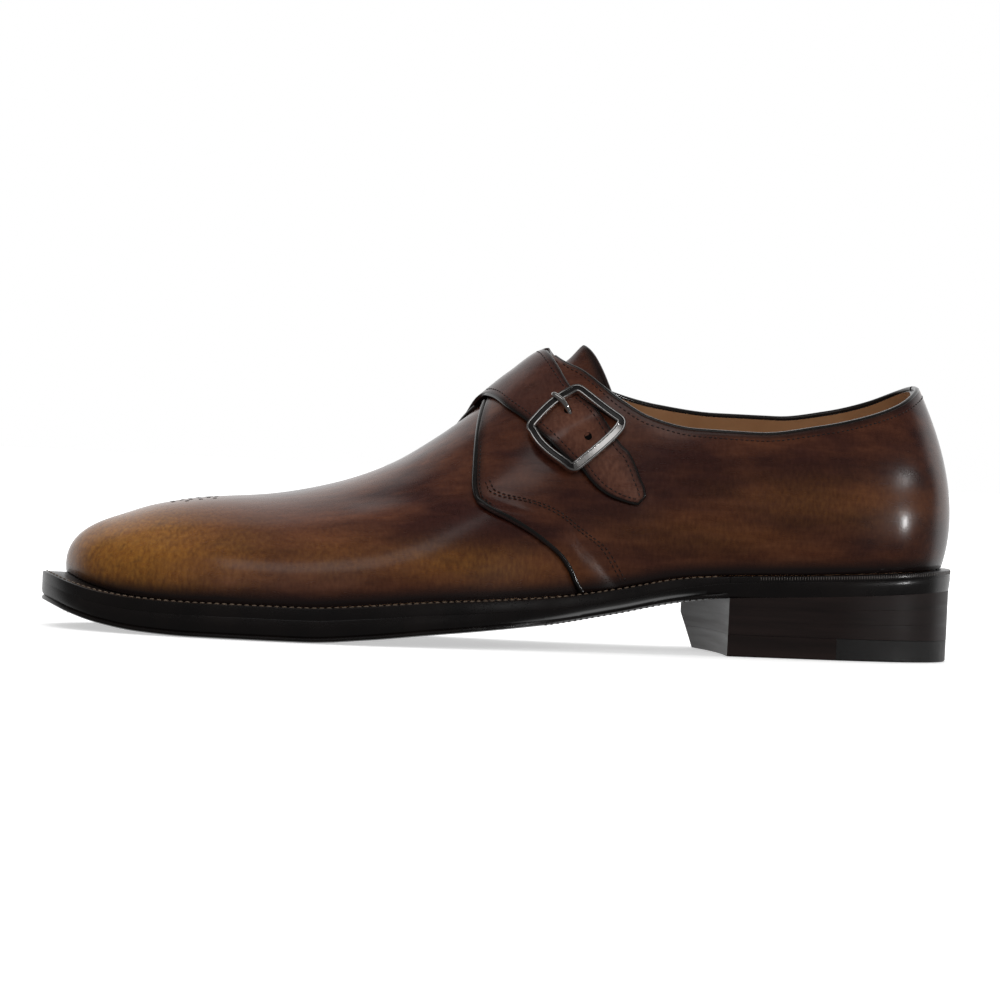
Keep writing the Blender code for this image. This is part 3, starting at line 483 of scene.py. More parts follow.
    def full_point(self, side: Side, share_round: float, full_girth: float) -> Vector:
        """A point on the upper, by its share of the girth that would run on to the ridge."""
        girth = full_girth / self.cut(side, self.station_of(share_round))
        return self.point(side, share_round, min(girth, 1.0))

    def normal(self, side: Side, share_round: float, full_girth: float) -> Vector:
        """The direction out of the upper's surface.

        Args:
            side: which side.
            share_round: how far round.
            full_girth: how far up the full girth.

        Returns:
            A direction of length 1.
        """
        step = 0.004
        below, above = full_girth - step, full_girth + step
        if above > self.cut(side, self.station_of(share_round)):
            above = full_girth
        level = min(full_girth, 1.0)
        before, after = (self.full_point(side, share_round + way, level) for way in (-step, step))
        run = after - before
        rise = self.full_point(side, share_round, above) - self.full_point(side, share_round, below)
        normal = run.cross(rise).normalized()
        return normal if normal.dot(Vector((0, side.value, 0.6))) > 0 else -normal

    def raised(self, side: Side, share_round: float, full_girth: float, height: float) -> Vector:
        """A point over the upper, at a height from its surface."""
        point = self.full_point(side, share_round, full_girth)
        return point + self.normal(side, share_round, full_girth) * height

    def over(self, side: Side, share_round: float, girth: float, height: float) -> Vector:
        """A point over the upper, by its girth up to the topline, at a height from its surface."""
        full = girth * self.cut(side, self.station_of(share_round))
        return self.raised(side, share_round, min(full, 0.9995), height)

    def strap_point(self, way: float, share: float, height: float) -> Vector:
        """A point over the strap's path.

        Args:
            way: how far along it, in rows of its table.
            share: from its front edge (0) to its rear edge (1).
            height: how far from the upper's surface.

        Returns:
            The point.
        """
        front = self.band["front_round"](way), self.band["front_girth"](way)
        rear = self.band["rear_round"](way), self.band["rear_girth"](way)
        place = [first + (second - first) * share for first, second in zip(front, rear)]
        return self.raised(Side.LATERAL, place[0], min(place[1], 0.9999), height)


LAST = Last()


def even_stations(start: float, end: float, count: int) -> list[float]:
    """Stations from start to end, even along the sole's edge, so that they crowd at its round ends."""
    first, last = LAST.round_of(start), LAST.round_of(end)
    return [LAST.station_of(first + (last - first) * k / count) for k in range(count + 1)]


# Workshop: making and finishing meshes


def deselect() -> None:
    """Leave nothing selected."""
    if bpy.context.object and bpy.context.object.mode != "OBJECT":
        bpy.ops.object.mode_set(mode="OBJECT")
    bpy.ops.object.select_all(action="DESELECT")


def pick(item: Item) -> None:
    """Select one object alone and make it active."""
    deselect()
    item.select_set(True)
    bpy.context.view_layer.objects.active = item


def edit(item: Item, select: str = "SELECT") -> None:
    """Enter edit mode on one object.

    Args:
        item: the object.
        select: what happens to the selection, SELECT or DESELECT.
    """
    pick(item)
    bpy.ops.object.mode_set(mode="EDIT")
    bpy.ops.mesh.select_all(action=select)


def leave() -> None:
    """Go back to object mode."""
    bpy.ops.object.mode_set(mode="OBJECT")


def apply_modifiers(item: Item) -> None:
    """Apply every modifier of an object in order."""
    pick(item)
    for modifier in list(item.modifiers):
        bpy.ops.object.modifier_apply(modifier=modifier.name)


def smooth(item: Item, angle: float = 40) -> None:
    """Shade an object smooth, with edges sharper than an angle left crisp."""
    pick(item)
    bpy.ops.object.shade_smooth_by_angle(angle=math.radians(angle))


def weld(item: Item, distance: float = MERGE) -> None:
    """Merge doubles and turn every face outwards."""
    edit(item)
    bpy.ops.mesh.remove_doubles(threshold=distance)
    bpy.ops.mesh.dissolve_degenerate(threshold=distance / 2)
    bpy.ops.mesh.select_all(action="SELECT")
    bpy.ops.mesh.normals_make_consistent(inside=False)
    leave()


def join(name: str, items: Sequence[Item]) -> Item:
    """Join objects into one.

    Args:
        name: the name that the whole gets.
        items: the objects.

    Returns:
        The one object.
    """
    deselect()
    for item in items:
        item.select_set(True)
    bpy.context.view_layer.objects.active = items[0]
    if len(items) > 1:
        bpy.ops.object.join()
    items[0].name = name
    items[0].data.name = name
    return items[0]


def sheet(name: str, columns: int, rows: int, place: Placer) -> Item:
    """A sheet of leather laid over a surface, made from a grid whose vertices are moved one by one.

    Args:
        name: its name.
        columns: how many steps it has along u.
        rows: how many steps it has along v.
        place: where the point with shares u and v goes.

    Returns:
        The sheet, with its shares u and v kept as the attributes along and up.
    """
    deselect()
    bpy.ops.mesh.primitive_grid_add(x_subdivisions=columns, y_subdivisions=rows, size=2)
    item = bpy.context.object
    item.name = name
    item.data.name = name
    mesh = item.data
    across = mesh.attributes.new("along", "FLOAT", "POINT")
    up = mesh.attributes.new("up", "FLOAT", "POINT")
    for vertex in mesh.vertices:
        u = min(max((vertex.co.x + 1) / 2, 0.0), 1.0)
        v = min(max((vertex.co.y + 1) / 2, 0.0), 1.0)
        across.data[vertex.index].value = u
        up.data[vertex.index].value = v
        vertex.co = place(u, v)
    return item


def thicken(item: Item, thickness: float, rim_slot: int = 0, back_slot: int = 0) -> None:
    """Give a sheet its thickness, measured inwards from its outside.

    Args:
        item: the sheet.
        thickness: how thick the leather is.
        rim_slot: how many material slots further the cut edge is.
        back_slot: how many material slots further the inside is.
    """
    solid = item.modifiers.new("thickness", "SOLIDIFY")
    solid.thickness = thickness
    solid.offset = -1
    solid.use_even_offset = True
    solid.material_offset = back_slot
    solid.material_offset_rim = rim_slot
    apply_modifiers(item)


def round_edges(item: Item, width: float, segments: int = 2, angle: float = 50) -> None:
    """Round the sharp edges of a solid.

    Args:
        item: the solid.
        width: how wide the rounding is.
        segments: how many steps it has.
        angle: edges sharper than this are rounded.
    """
    bevel = item.modifiers.new("rounding", "BEVEL")
    bevel.width = width
    bevel.segments = segments
    bevel.limit_method = "ANGLE"
    bevel.angle_limit = math.radians(angle)
    bevel.use_clamp_overlap = True
    apply_modifiers(item)


def outward_sign(item: Item, centre: Vector) -> None:
    """Turn an open sheet so that its faces look away from a centre line.

    Args:
        item: the sheet.
        centre: a point of the line along X that it looks away from.
    """
    total = 0.0
    for face in item.data.polygons:
        away = face.center - centre
        away.x = 0
        total += face.normal.dot(away) * face.area
    if total < 0:
        edit(item)
        bpy.ops.mesh.flip_normals()
        leave()


def paint(item: Item, name: str, value: Mask) -> None:
    """Store a mask on a sheet's vertices.

    Args:
        item: the sheet.
        name: the attribute's name.
        value: the mask's value for a place and the sheet's shares there.
    """
    layers = item.data.attributes
    if name not in layers:
        layers.new(name, "FLOAT", "POINT")
    across, up = [[entry.value for entry in layers[key].data] for key in ("along", "up")]
    mask = layers[name].data
    for vertex in item.data.vertices:
        mask[vertex.index].value = value(vertex.co, across[vertex.index], up[vertex.index])


def plate(name: str, columns: int, rows: int, levels: Sequence[Placer]) -> Item:
    """A solid between a top and a bottom grid, with a side that steps through the levels between.

    Args:
        name: its name.
        columns: steps across.
        rows: steps along.
        levels: where the shares u and v go on each level, the top first.

    Returns:
        The solid.
    """
    top = sheet(name, columns, rows, levels[0])
    edit(top)
    bpy.ops.mesh.region_to_loop()
    leave()
    for level in levels[1:]:
        pick(top)
        bpy.ops.object.mode_set(mode="EDIT")
        bpy.ops.mesh.extrude_region()
        leave()
        mesh = top.data
        across, up = mesh.attributes["along"].data, mesh.attributes["up"].data
        for vertex in mesh.vertices:
            if vertex.select:
                vertex.co = level(across[vertex.index].value, up[vertex.index].value)
    bottom = sheet(name + "_bottom", columns, rows, levels[-1])
    whole = join(name, [top, bottom])
    weld(whole)
    return whole


def bridge(mesh: bmesh.types.BMesh, rings: Sequence[Sequence[bmesh.types.BMVert]]) -> None:
    """Join each ring of vertices to the next with a band of faces."""
    for ring, following in zip(rings, rings[1:]):
        for k, vertex in enumerate(ring):
            after = (k + 1) % len(ring)
            mesh.faces.new((vertex, ring[after], following[after], following[k]))


def cast(name: str, mesh: bmesh.types.BMesh) -> Item:
    """Make an object of a mesh, with its faces turned outwards.

    Args:
        name: its name.
        mesh: the mesh, which is freed.

    Returns:
        The object.
    """
    bmesh.ops.recalc_face_normals(mesh, faces=mesh.faces)
    data = bpy.data.meshes.new(name)
    mesh.to_mesh(data)
    mesh.free()
    item = bpy.data.objects.new(name, data)
    bpy.context.collection.objects.link(item)
    return item


def loft(name: str, sections: Sequence[Sequence[Vector]], closed: bool = False) -> Item:
    """A solid through a row of closed sections.

    Args:
        name: its name.
        sections: the sections, each with the same number of points.
        closed: whether the row runs back into its start.

    Returns:
        The solid.
    """
    mesh = bmesh.new()
    rings = [[mesh.verts.new(point) for point in section] for section in sections]
    if closed:
        rings.append(rings[0])
    else:
        mesh.faces.new(list(reversed(rings[0])))
        mesh.faces.new(rings[-1])
    bridge(mesh, rings)
    return cast(name, mesh)


def spokes(first: Vector, second: Vector, count: int) -> list[Vector]:
    """Directions spread evenly round, from the first through the second."""
    turns = [2 * math.pi * k / count for k in range(count)]
    return [first * math.cos(turn) + second * math.sin(turn) for turn in turns]


def tube(
    name: str,
    points: Sequence[Vector],
    radii: Sequence[float],
    sides: int = 10,
    closed: bool = False,
    guides: Sequence[Vector] | None = None,
) -> Item:
    """A bar or bead along a path.

    Args:
        name: its name.
        points: the path.
        radii: its radius at each point.
        sides: how many sides it has.
        closed: whether the path runs back into its start.
        guides: the direction of its first side at each point.

    Returns:
        The bar.
    """
    count = len(points)
    sections = []
    held = Vector((0, 0.03, 1))
    for k, point in enumerate(points):
        before = points[(k - 1) % count] if closed or k else point
        after = points[(k + 1) % count] if closed or k < count - 1 else point
        run = (after - before).normalized()
        guide = guides[k] if guides else held
        held = (guide - run * guide.dot(run)).normalized()
        sections.append([point + out * radii[k] for out in spokes(held, run.cross(held), sides)])
    item = loft(name, sections, closed)
    smooth(item, 50)
    return item


def finish_piece(
    item: Item, materials: Iterable[Material], replaced: Sequence[str] = ()
) -> Item:
    """Dress a finished piece and tie it to the shoe.

    Args:
        item: the piece.
        materials: its materials in the order of its own slots.
        replaced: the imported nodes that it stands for.

    Returns:
        The piece.
    """
    slots = [face.material_index for face in item.data.polygons]
    item.data.materials.clear()
    for material in materials:
        item.data.materials.append(material)
    for face, number in zip(item.data.polygons, slots):
        face.material_index = min(number, len(item.data.materials) - 1)
    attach(item, BODY)
    if replaced:
        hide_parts(*replaced)
    LOG.info("%s: %d faces", item.name, len(item.data.polygons))
    return item


# Finishes


class Graph:
    """A material's or a group's node tree, built node by node."""

    def __init__(self, tree: bpy.types.NodeTree) -> None:
        """Work on a tree."""
        self.tree = tree

    def add(self, kind: str, **values: object) -> Node:
        """Add a node.

        Args:
            kind: its type name without the prefix ShaderNode.
            values: its properties, or the default of an input named with a leading underscore.

        Returns:
            The node.
        """
        node = self.tree.nodes.new("ShaderNode" + kind)
        for name, value in values.items():
            if name.startswith("_"):
                key = name[1:]
                node.inputs[int(key) if key.isdigit() else key.replace("_", " ")].default_value = value
            else:
                setattr(node, name, value)
        return node

    def link(self, source: Socket, target: Socket) -> None:
        """Join two sockets."""
        self.tree.links.new(source, target)

    def feed(self, value: object, target: Socket) -> None:
        """Give an input a socket, a colour or a number."""
        if isinstance(value, Socket):
            self.link(value, target)
        else:
            target.default_value = (*value, 1.0) if isinstance(value, tuple) else value

    def mix(self, factor: object, first: object, second: object, blend: str = "MIX") -> Socket:
        """Mix two colours.

        Args:
            factor: a socket or a number.
            first: a socket or a colour.
            second: a socket or a colour.
            blend: how they mix.

        Returns:
            The mixed colour's socket.
        """
        node = self.add("Mix", data_type="RGBA", blend_type=blend)
        for value, target in ((factor, 0), (first, 6), (second, 7)):
            self.feed(value, node.inputs[target])
        return node.outputs[2]

    def math(self, kind: str, first: object, second: object = 0.0) -> Socket:
        """Reckon with two numbers.

        Args:
            kind: the operation.
            first: a socket or a number.
            second: a socket or a number.

        Returns:
            The result's socket.
        """
        node = self.add("Math", operation=kind)
        self.feed(first, node.inputs[0])
        self.feed(second, node.inputs[1])
        return node.outputs[0]

    def span(self, value: object, low: float, high: float, start: float = 0, end: float = 1) -> Socket:
        """Stretch a range of a number on to another, held at its ends.

        Args:
            value: the socket.
            low: where the range starts.
            high: where it ends.
            start: what its start becomes.
            end: what its end becomes.

        Returns:
            The result's socket.
        """
        node = self.add("MapRange", clamp=True, _1=low, _2=high, _3=start, _4=end)
        self.link(value, node.inputs[0])
        return node.outputs[0]

    def object_noise(self, scale: Triple, detail: float, rough: float) -> Socket:
        """Noise on the object's own coordinates, with its own scale along each axis.

        Args:
            scale: how fine it is along X, Y and Z.
            detail: how many octaves it has.
            rough: how strong the fine ones are.

        Returns:
            The noise's socket.
        """
        where = self.add("TexCoord")
        mapping = self.add("Mapping")
        mapping.inputs["Scale"].default_value = scale
        noise = self.add("TexNoise", _Scale=1.0, _Detail=detail, _Roughness=rough)
        self.link(where.outputs["Object"], mapping.inputs["Vector"])
        self.link(mapping.outputs["Vector"], noise.inputs["Vector"])
        return noise.outputs["Fac"]

    def attribute(self, name: str) -> Socket:
        """A mask painted on the mesh."""
        return self.add("Attribute", attribute_name=name).outputs["Fac"]


def new_group(
    name: str, inputs: Sequence[tuple[str, str, object]], outputs: Sequence[tuple[str, str]]
) -> tuple:
    """Start a shader node group.

    Args:
        name: its name.
        inputs: the name, kind and default of each input.
        outputs: the name and kind of each output.

    Returns:
        The group, its graph, its input node and its output node.
    """
    group = bpy.data.node_groups.new(name, "ShaderNodeTree")
    for label, kind, default in inputs:
        socket = group.interface.new_socket(label, in_out="INPUT", socket_type="NodeSocket" + kind)
        socket.default_value = default
    for label, kind in outputs:
        group.interface.new_socket(label, in_out="OUTPUT", socket_type="NodeSocket" + kind)
    return group, Graph(group), group.nodes.new("NodeGroupInput"), group.nodes.new("NodeGroupOutput")


def grain_group() -> bpy.types.NodeTree:
    """Fine calf grain: shallow pores and hair-thin wrinkles."""
    group, graph, given, made = new_group(
        "calf_grain", [("Fineness", "Float", 900.0), ("Pores", "Float", 0.5)], [("Height", "Float")]
    )
    where = graph.add("TexCoord")
    fine = graph.add("TexNoise", _Detail=2.0, _Roughness=0.5)
    cloud = graph.add("TexNoise", _Detail=3.0, _Roughness=0.5)
    for noise, share in ((fine, 1.0), (cloud, 0.22)):
        graph.link(where.outputs["Object"], noise.inputs["Vector"])
        graph.link(graph.math("MULTIPLY", given.outputs["Fineness"], share), noise.inputs["Scale"])
    pores = graph.math("MULTIPLY", fine.outputs["Fac"], given.outputs["Pores"])
    graph.link(graph.math("ADD", pores, cloud.outputs["Fac"]), made.inputs["Height"])
    return group


def patina_group() -> bpy.types.NodeTree:
    """Dye worked into crust leather by hand: golden where it is thin, streaked, black-brown at the edges; its
    dark edge colour also paints shade near the welt, where the mask carries it.
    """
    group, graph, given, made = new_group(
        "hand_patina",
        [
            ("Deep", "Color", (0.04, 0.012, 0.009, 1)),
            ("Middle", "Color", (0.1, 0.035, 0.016, 1)),
            ("Golden", "Color", (0.3, 0.13, 0.025, 1)),
            ("Edge", "Color", (0.012, 0.006, 0.005, 1)),
            ("Gold mask", "Float", 0.0),
            ("Burnish and shade mask", "Float", 0.0),
        ],
        [("Color", "Color"), ("Roughness", "Float")],
    )
    clouds = graph.object_noise((18, 60, 60), 3.0, 0.6)
    streaks = graph.object_noise((70, 420, 420), 4.0, 0.62)
    brush = graph.object_noise((900, 700, 420), 2.0, 0.5)
    body = graph.mix(graph.span(clouds, 0.40, 0.62), given.outputs["Deep"], given.outputs["Middle"])
    lines, strokes = graph.span(streaks, 0.30, 0.70, 0.45, 1.35), graph.span(brush, 0.25, 0.75, 1.25, 0.7)
    worn = graph.math("MULTIPLY", lines, strokes)
    gold = graph.span(graph.math("MULTIPLY", given.outputs["Gold mask"], worn), 0.0, 0.95)
    body = graph.mix(gold, body, given.outputs["Golden"])
    for noise, low, high, share, tint in (
        (streaks, 0.34, 0.66, 0.75, (0.55, 0.42, 0.38)),
        (brush, 0.3, 0.7, 0.55, (0.62, 0.52, 0.48)),
    ):
        darker = graph.mix(1.0, body, tint, "MULTIPLY")
        body = graph.mix(graph.span(noise, low, high, 0.0, share), body, darker)
    uneven = graph.math("MULTIPLY", graph.span(clouds, 0.3, 0.7, -0.5, 0.5), 0.2)
    # The burnish and shade mask darkens towards the Edge colour: burnished edges, and shade painted near the
    # welt.
    edge = graph.math("ADD", given.outputs["Burnish and shade mask"], uneven)
    graph.link(graph.mix(graph.span(edge, 0.1, 0.9), body, given.outputs["Edge"]), made.inputs["Color"])
    graph.link(graph.span(streaks, 0.2, 0.8, 0.22, 0.30), made.inputs["Roughness"])
    return group


@dataclass(frozen=True)
class Leather:
    """A leather with a hand-worked patina."""

    name: str
    deep: Triple = (0.052, 0.0150, 0.0110)
    middle: Triple = (0.150, 0.050, 0.0220)
    golden: Triple = (0.430, 0.190, 0.034)
    edge: Triple = (0.010, 0.0055, 0.005)
    coat: float = 0.25
    bump: float = 0.03
    fineness: float = 800.0
    shine: float = 0.4

    def make(self, groups: Groups) -> Material:
        """Make the material.

        Args:
            groups: the shared node groups by name.

        Returns:
            The material.
        """
        material, graph, shader = new_material(self.name)
        patina = graph.add("Group", node_tree=groups["patina"])
        for label in ("deep", "middle", "golden", "edge"):
            patina.inputs[label.title()].default_value = (*getattr(self, label), 1)
        graph.link(graph.attribute("golden"), patina.inputs["Gold mask"])
        graph.link(graph.attribute("burnish"), patina.inputs["Burnish and shade mask"])
        graph.link(patina.outputs["Color"], shader.inputs["Base Color"])
        graph.link(patina.outputs["Roughness"], shader.inputs["Roughness"])
        set_inputs(shader, Specular_IOR_Level=self.shine, Coat_Weight=self.coat, Coat_Roughness=0.14)
        add_grain(graph, shader, groups, self.fineness, self.bump)
        return material


@dataclass(frozen=True)
class Plain:
    """A finish of one colour with slight clouds in it, such as edge dye, rubber, lining or thread."""

    name: str
    colour: Triple
    dark: Triple
    roughness: float = 0.4
    metallic: float = 0.0
    coat: float = 0.0
    fineness: float = 700.0
    bump: float = 0.15
    cloud: Triple = (60, 60, 60)
    shine: float = 0.5

    def make(self, groups: Groups) -> Material:
        """Make the material.

        Args:
            groups: the shared node groups by name.

        Returns:
            The material.
        """
        material, graph, shader = new_material(self.name)
        clouds = graph.object_noise(self.cloud, 5.0, 0.6)
        colour = graph.mix(graph.span(clouds, 0.32, 0.68), self.dark, self.colour)
        graph.link(colour, shader.inputs["Base Color"])
        low, high = self.roughness * 0.85, min(self.roughness * 1.2, 1.0)
        graph.link(graph.span(clouds, 0.3, 0.7, low, high), shader.inputs["Roughness"])
        set_inputs(shader, Metallic=self.metallic, Specular_IOR_Level=self.shine)
        set_inputs(shader, Coat_Weight=self.coat, Coat_Roughness=0.15)
        add_grain(graph, shader, groups, self.fineness, self.bump)
        return material


def new_material(name: str) -> tuple[Material, Graph, Node]:
    """Start a material: itself, its graph and its Principled BSDF."""
    material = bpy.data.materials.new(name)
    material.use_nodes = True
    return material, Graph(material.node_tree), material.node_tree.nodes["Principled BSDF"]


def set_inputs(node: Node, **values: object) -> None:
    """Set inputs of a node, named with underscores for spaces."""
    for name, value in values.items():
        node.inputs[name.replace("_", " ")].default_value = value


def add_grain(graph: Graph, shader: Node, groups: Groups, fineness: float, strength: float) -> None:
    """Give a material its grain.

    Args:
        graph: the material's graph.
        shader: its Principled BSDF.
        groups: the shared node groups by name.
        fineness: how fine the grain is.
        strength: how strong the relief is.
    """
    grain = graph.add("Group", node_tree=groups["grain"], _Fineness=fineness)
    bump = graph.add("Bump", _Strength=strength, _Distance=0.3 * MM)
    graph.link(grain.outputs["Height"], bump.inputs["Height"])
    graph.link(bump.outputs["Normal"], shader.inputs["Normal"])


FINISHES = [
    Leather("vamp_calf"),
    Leather("quarter_calf", (0.050, 0.0145, 0.0110), (0.135, 0.046, 0.0215)),
    Leather("strap_calf", (0.045, 0.014, 0.0115), (0.090, 0.030, 0.020), (0.185, 0.078, 0.048)),
    Leather("dark_calf", (0.014, 0.008, 0.007), (0.024, 0.012, 0.010), (0.06, 0.03, 0.02)),
    Leather("dark_calf_plain", (0.014, 0.008, 0.007), (0.024, 0.012, 0.010), (0.06, 0.03, 0.02), bump=0.2),
    Plain("tan_line", (0.42, 0.20, 0.12), (0.33, 0.15, 0.09), 0.6),
    Plain("edge_dye", (0.010, 0.007, 0.006), (0.006, 0.005, 0.0045), 0.24, coat=0.5, bump=0.05),
    # Near-black for dark joints and nail heads, and painted shade inside holes and slots.
    Plain("dark_and_hole_shade", (0.004, 0.003, 0.003), (0.002, 0.002, 0.002), 0.8, shine=0.1),
    Plain("sole_edge", (0.009, 0.0065, 0.006), (0.005, 0.004, 0.004), 0.27, bump=0.05, shine=0.45),
    Plain("wheel_mark", (0.170, 0.150, 0.140), (0.110, 0.096, 0.090), 0.4),
    Plain("sole_bottom", (0.012, 0.010, 0.010), (0.008, 0.007, 0.007), 0.16, coat=0.5,
          fineness=400, bump=0.05),
    Plain("heel_stack", (0.024, 0.0150, 0.0135), (0.0130, 0.0095, 0.0090), 0.42, cloud=(14, 14, 260),
          bump=0.05, shine=0.2),
    Plain("heel_rubber", (0.016, 0.015, 0.015), (0.011, 0.010, 0.010), 0.5,
          fineness=420, bump=0.4, shine=0.35),
    Plain("lining_calf", (0.400, 0.215, 0.105), (0.330, 0.165, 0.075), 0.55, bump=0.2),
    Plain("seam_thread", (0.020, 0.012, 0.011), (0.012, 0.008, 0.008), 0.55, fineness=2600, bump=0.4),
    Plain("welt_thread", (0.180, 0.130, 0.090), (0.110, 0.078, 0.055), 0.6, fineness=2600, bump=0.4),
    Plain("buckle_metal", (0.680, 0.660, 0.645), (0.540, 0.520, 0.510), 0.12, metallic=1.0, bump=0.02),
    # Near-black, not metal: a painted dark reflection on the buckle's flat face, which is the same metal as
    # its rims.
    Plain("buckle_face_painted_reflection", (0.013, 0.011, 0.011), (0.009, 0.008, 0.008), 0.22, bump=0.02, shine=0.35),
    Plain("brass_nail", (0.36, 0.27, 0.13), (0.20, 0.14, 0.07), 0.35, metallic=1.0, bump=0.05),
    Plain("plate_metal", (0.62, 0.61, 0.60), (0.50, 0.49, 0.48), 0.22, metallic=1.0, bump=0.03),
]


def make_finishes() -> Finishes:
    """Make every finish, by its name."""
    groups = {"grain": grain_group(), "patina": patina_group()}
    return {finish.name: finish.make(groups) for finish in FINISHES}


# Masks of the patina


class Spot(NamedTuple):
    """A soft patch of thin, golden dye: its middle and reach in mm, and its strength."""

    x: float
    y: float
    z: float
    reach_x: float
    reach_y: float
    reach_z: float
    strength: float


GOLD_SPOTS = [
    Spot(-126, -8, 27, 26, 42, 14, 1.25),
    Spot(-101, -30, 27, 18, 22, 11, 0.48),
    Spot(-66, -36, 27, 26, 18, 8, 0.28),
    Spot(-26, -36, 27, 34, 18, 6, 0.46),
    Spot(62, -30, 40, 34, 16, 7, 0.16),
    Spot(100, -28, 52, 34, 16, 9, 0.22),
    Spot(-98, 34, 27, 20, 22, 11, 0.85),
    Spot(-66, 44, 27, 26, 20, 8, 0.34),
    Spot(-16, 34, 27, 32, 20, 7, 0.40),
    Spot(100, 30, 52, 34, 16, 9, 0.22),
]


def gold_at(point: Vector, *_: float) -> float:
    """How golden the leather is at a point."""
    total = 0.0
    for spot in GOLD_SPOTS:
        middle, reach = spot[:3], spot[3:6]
        far = sum(((point[k] / MM - middle[k]) / reach[k]) ** 2 for k in range(3))
        total = max(total, spot.strength * math.exp(-far))
    return total


def feather_burnish(point: Vector, *_: float) -> float:
    """How much painted shade darkens the leather close to the welt, where the upper meets it."""
    station = 0.5 - point.x / LAST.length
    return 1.0 - ease((point.z - LAST.welt_top(min(max(station, 0.0), 1.0)) - 0.5 * MM) / (7 * MM))


class Fold(NamedTuple):
    """A soft trough in the leather: its two ends in mm, how deep it is and how far it reaches."""

    start: Triple
    end: Triple
    depth: float
    reach: float


FOLD_FADE = 0.08
FOLDS = [
    Fold((48, -28, 55), (136, -24, 58), 0.7, 6.5),
    Fold((48, 26, 55), (136, 26, 58), 0.7, 6.5),
    Fold((-52, -22, 46), (-8, -30, 47), 0.6, 6.0),
    Fold((-52, 34, 44), (-8, 30, 46), 0.6, 6.0),
    Fold((-6, -14, 68), (-34, -10, 60), -0.4, 7.0),
    Fold((108, -22, 37), (128, -24, 40), -0.5, 8.0),
    Fold((108, 24, 37), (128, 24, 40), -0.5, 8.0),
]


def fold_at(point: Vector, v: float) -> float:
    """How far the leather stands out at a point, negative in a trough, and nothing at the welt."""
    total = 0.0
    for fold in FOLDS:
        start, end = Vector(fold.start) * MM, Vector(fold.end) * MM
        run = end - start
        share = min(max((point - start).dot(run) / run.length_squared, 0.0), 1.0)
        far = (point - start - run * share).length / (fold.reach * MM)
        total -= fold.depth * MM * math.exp(-far * far)
    return total * ease(v / FOLD_FADE)


# Sub-assemblies


def emboss(item: Item, height: Mask) -> None:
    """Move each vertex out along its normal; where the sheet stands on the welt it moves level.

    Args:
        item: the sheet.
        height: how far, for a vertex's place and its shares along and up.
    """
    item.data.update()
    across, up = item.data.attributes["along"].data, item.data.attributes["up"].data
    normals = [vertex.normal.copy() for vertex in item.data.vertices]
    for vertex, normal in zip(item.data.vertices, normals):
        v = up[vertex.index].value
        if v < 0.001:
            normal.z = 0
            normal.normalize()
        vertex.co += normal * height(vertex.co.copy(), across[vertex.index].value, v)


CORE = Vector((0, 0.002, 0.030))


def sunk(share_round: float) -> float:
    """How far the outer quarter's top stays under the topline, beneath the strap, as a share of the girth."""
    return 0.045 * ease((share_round - 0.42) / 0.025)


@dataclass
class UpperBody:
    """The hollow upper: vamp and lasted sides in one, lined, open at the collar and underneath."""

    wall: float = 1.8 * MM
    collar_columns: int = 78
    vamp_columns: int = 76
    rows: int = 40

    def share_round(self, u: float) -> float:
        """How far round a column stands."""
        count = self.collar_columns + self.vamp_columns
        split = self.collar_columns / count
        if u < split:
            return LAST.throat_round * (1 - (1 - u / split) ** 1.15)
        return LAST.throat_round + (1 - LAST.throat_round) * (u - split) / (1 - split)

    def build(self, finishes: Finishes) -> None:
        """Lay both sides over the last, close them along the vamp and give them their wall."""
        halves = [
            sheet(
                f"upper_{side.label}",
                self.collar_columns + self.vamp_columns,
                self.rows,
                lambda u, v, side=side: LAST.point(side, self.share_round(u), v),
            )
            for side in Side
        ]
        body = join("upper_body", halves)
        weld(body, 0.02 * MM)
        outward_sign(body, CORE)
        emboss(body, lambda point, u, v: fold_at(point, v))
        materials = [finishes["vamp_calf"], finishes["lining_calf"], finishes["edge_dye"]]
        for material in materials:
            body.data.materials.append(material)
        thicken(body, self.wall, rim_slot=2, back_slot=1)
        paint(body, "golden", gold_at)
        # Painted shade: the upper is painted darker close to the welt.
        paint(body, "burnish", feather_burnish)
        smooth(body, 55)
        finish_piece(body, materials, ["upper"])


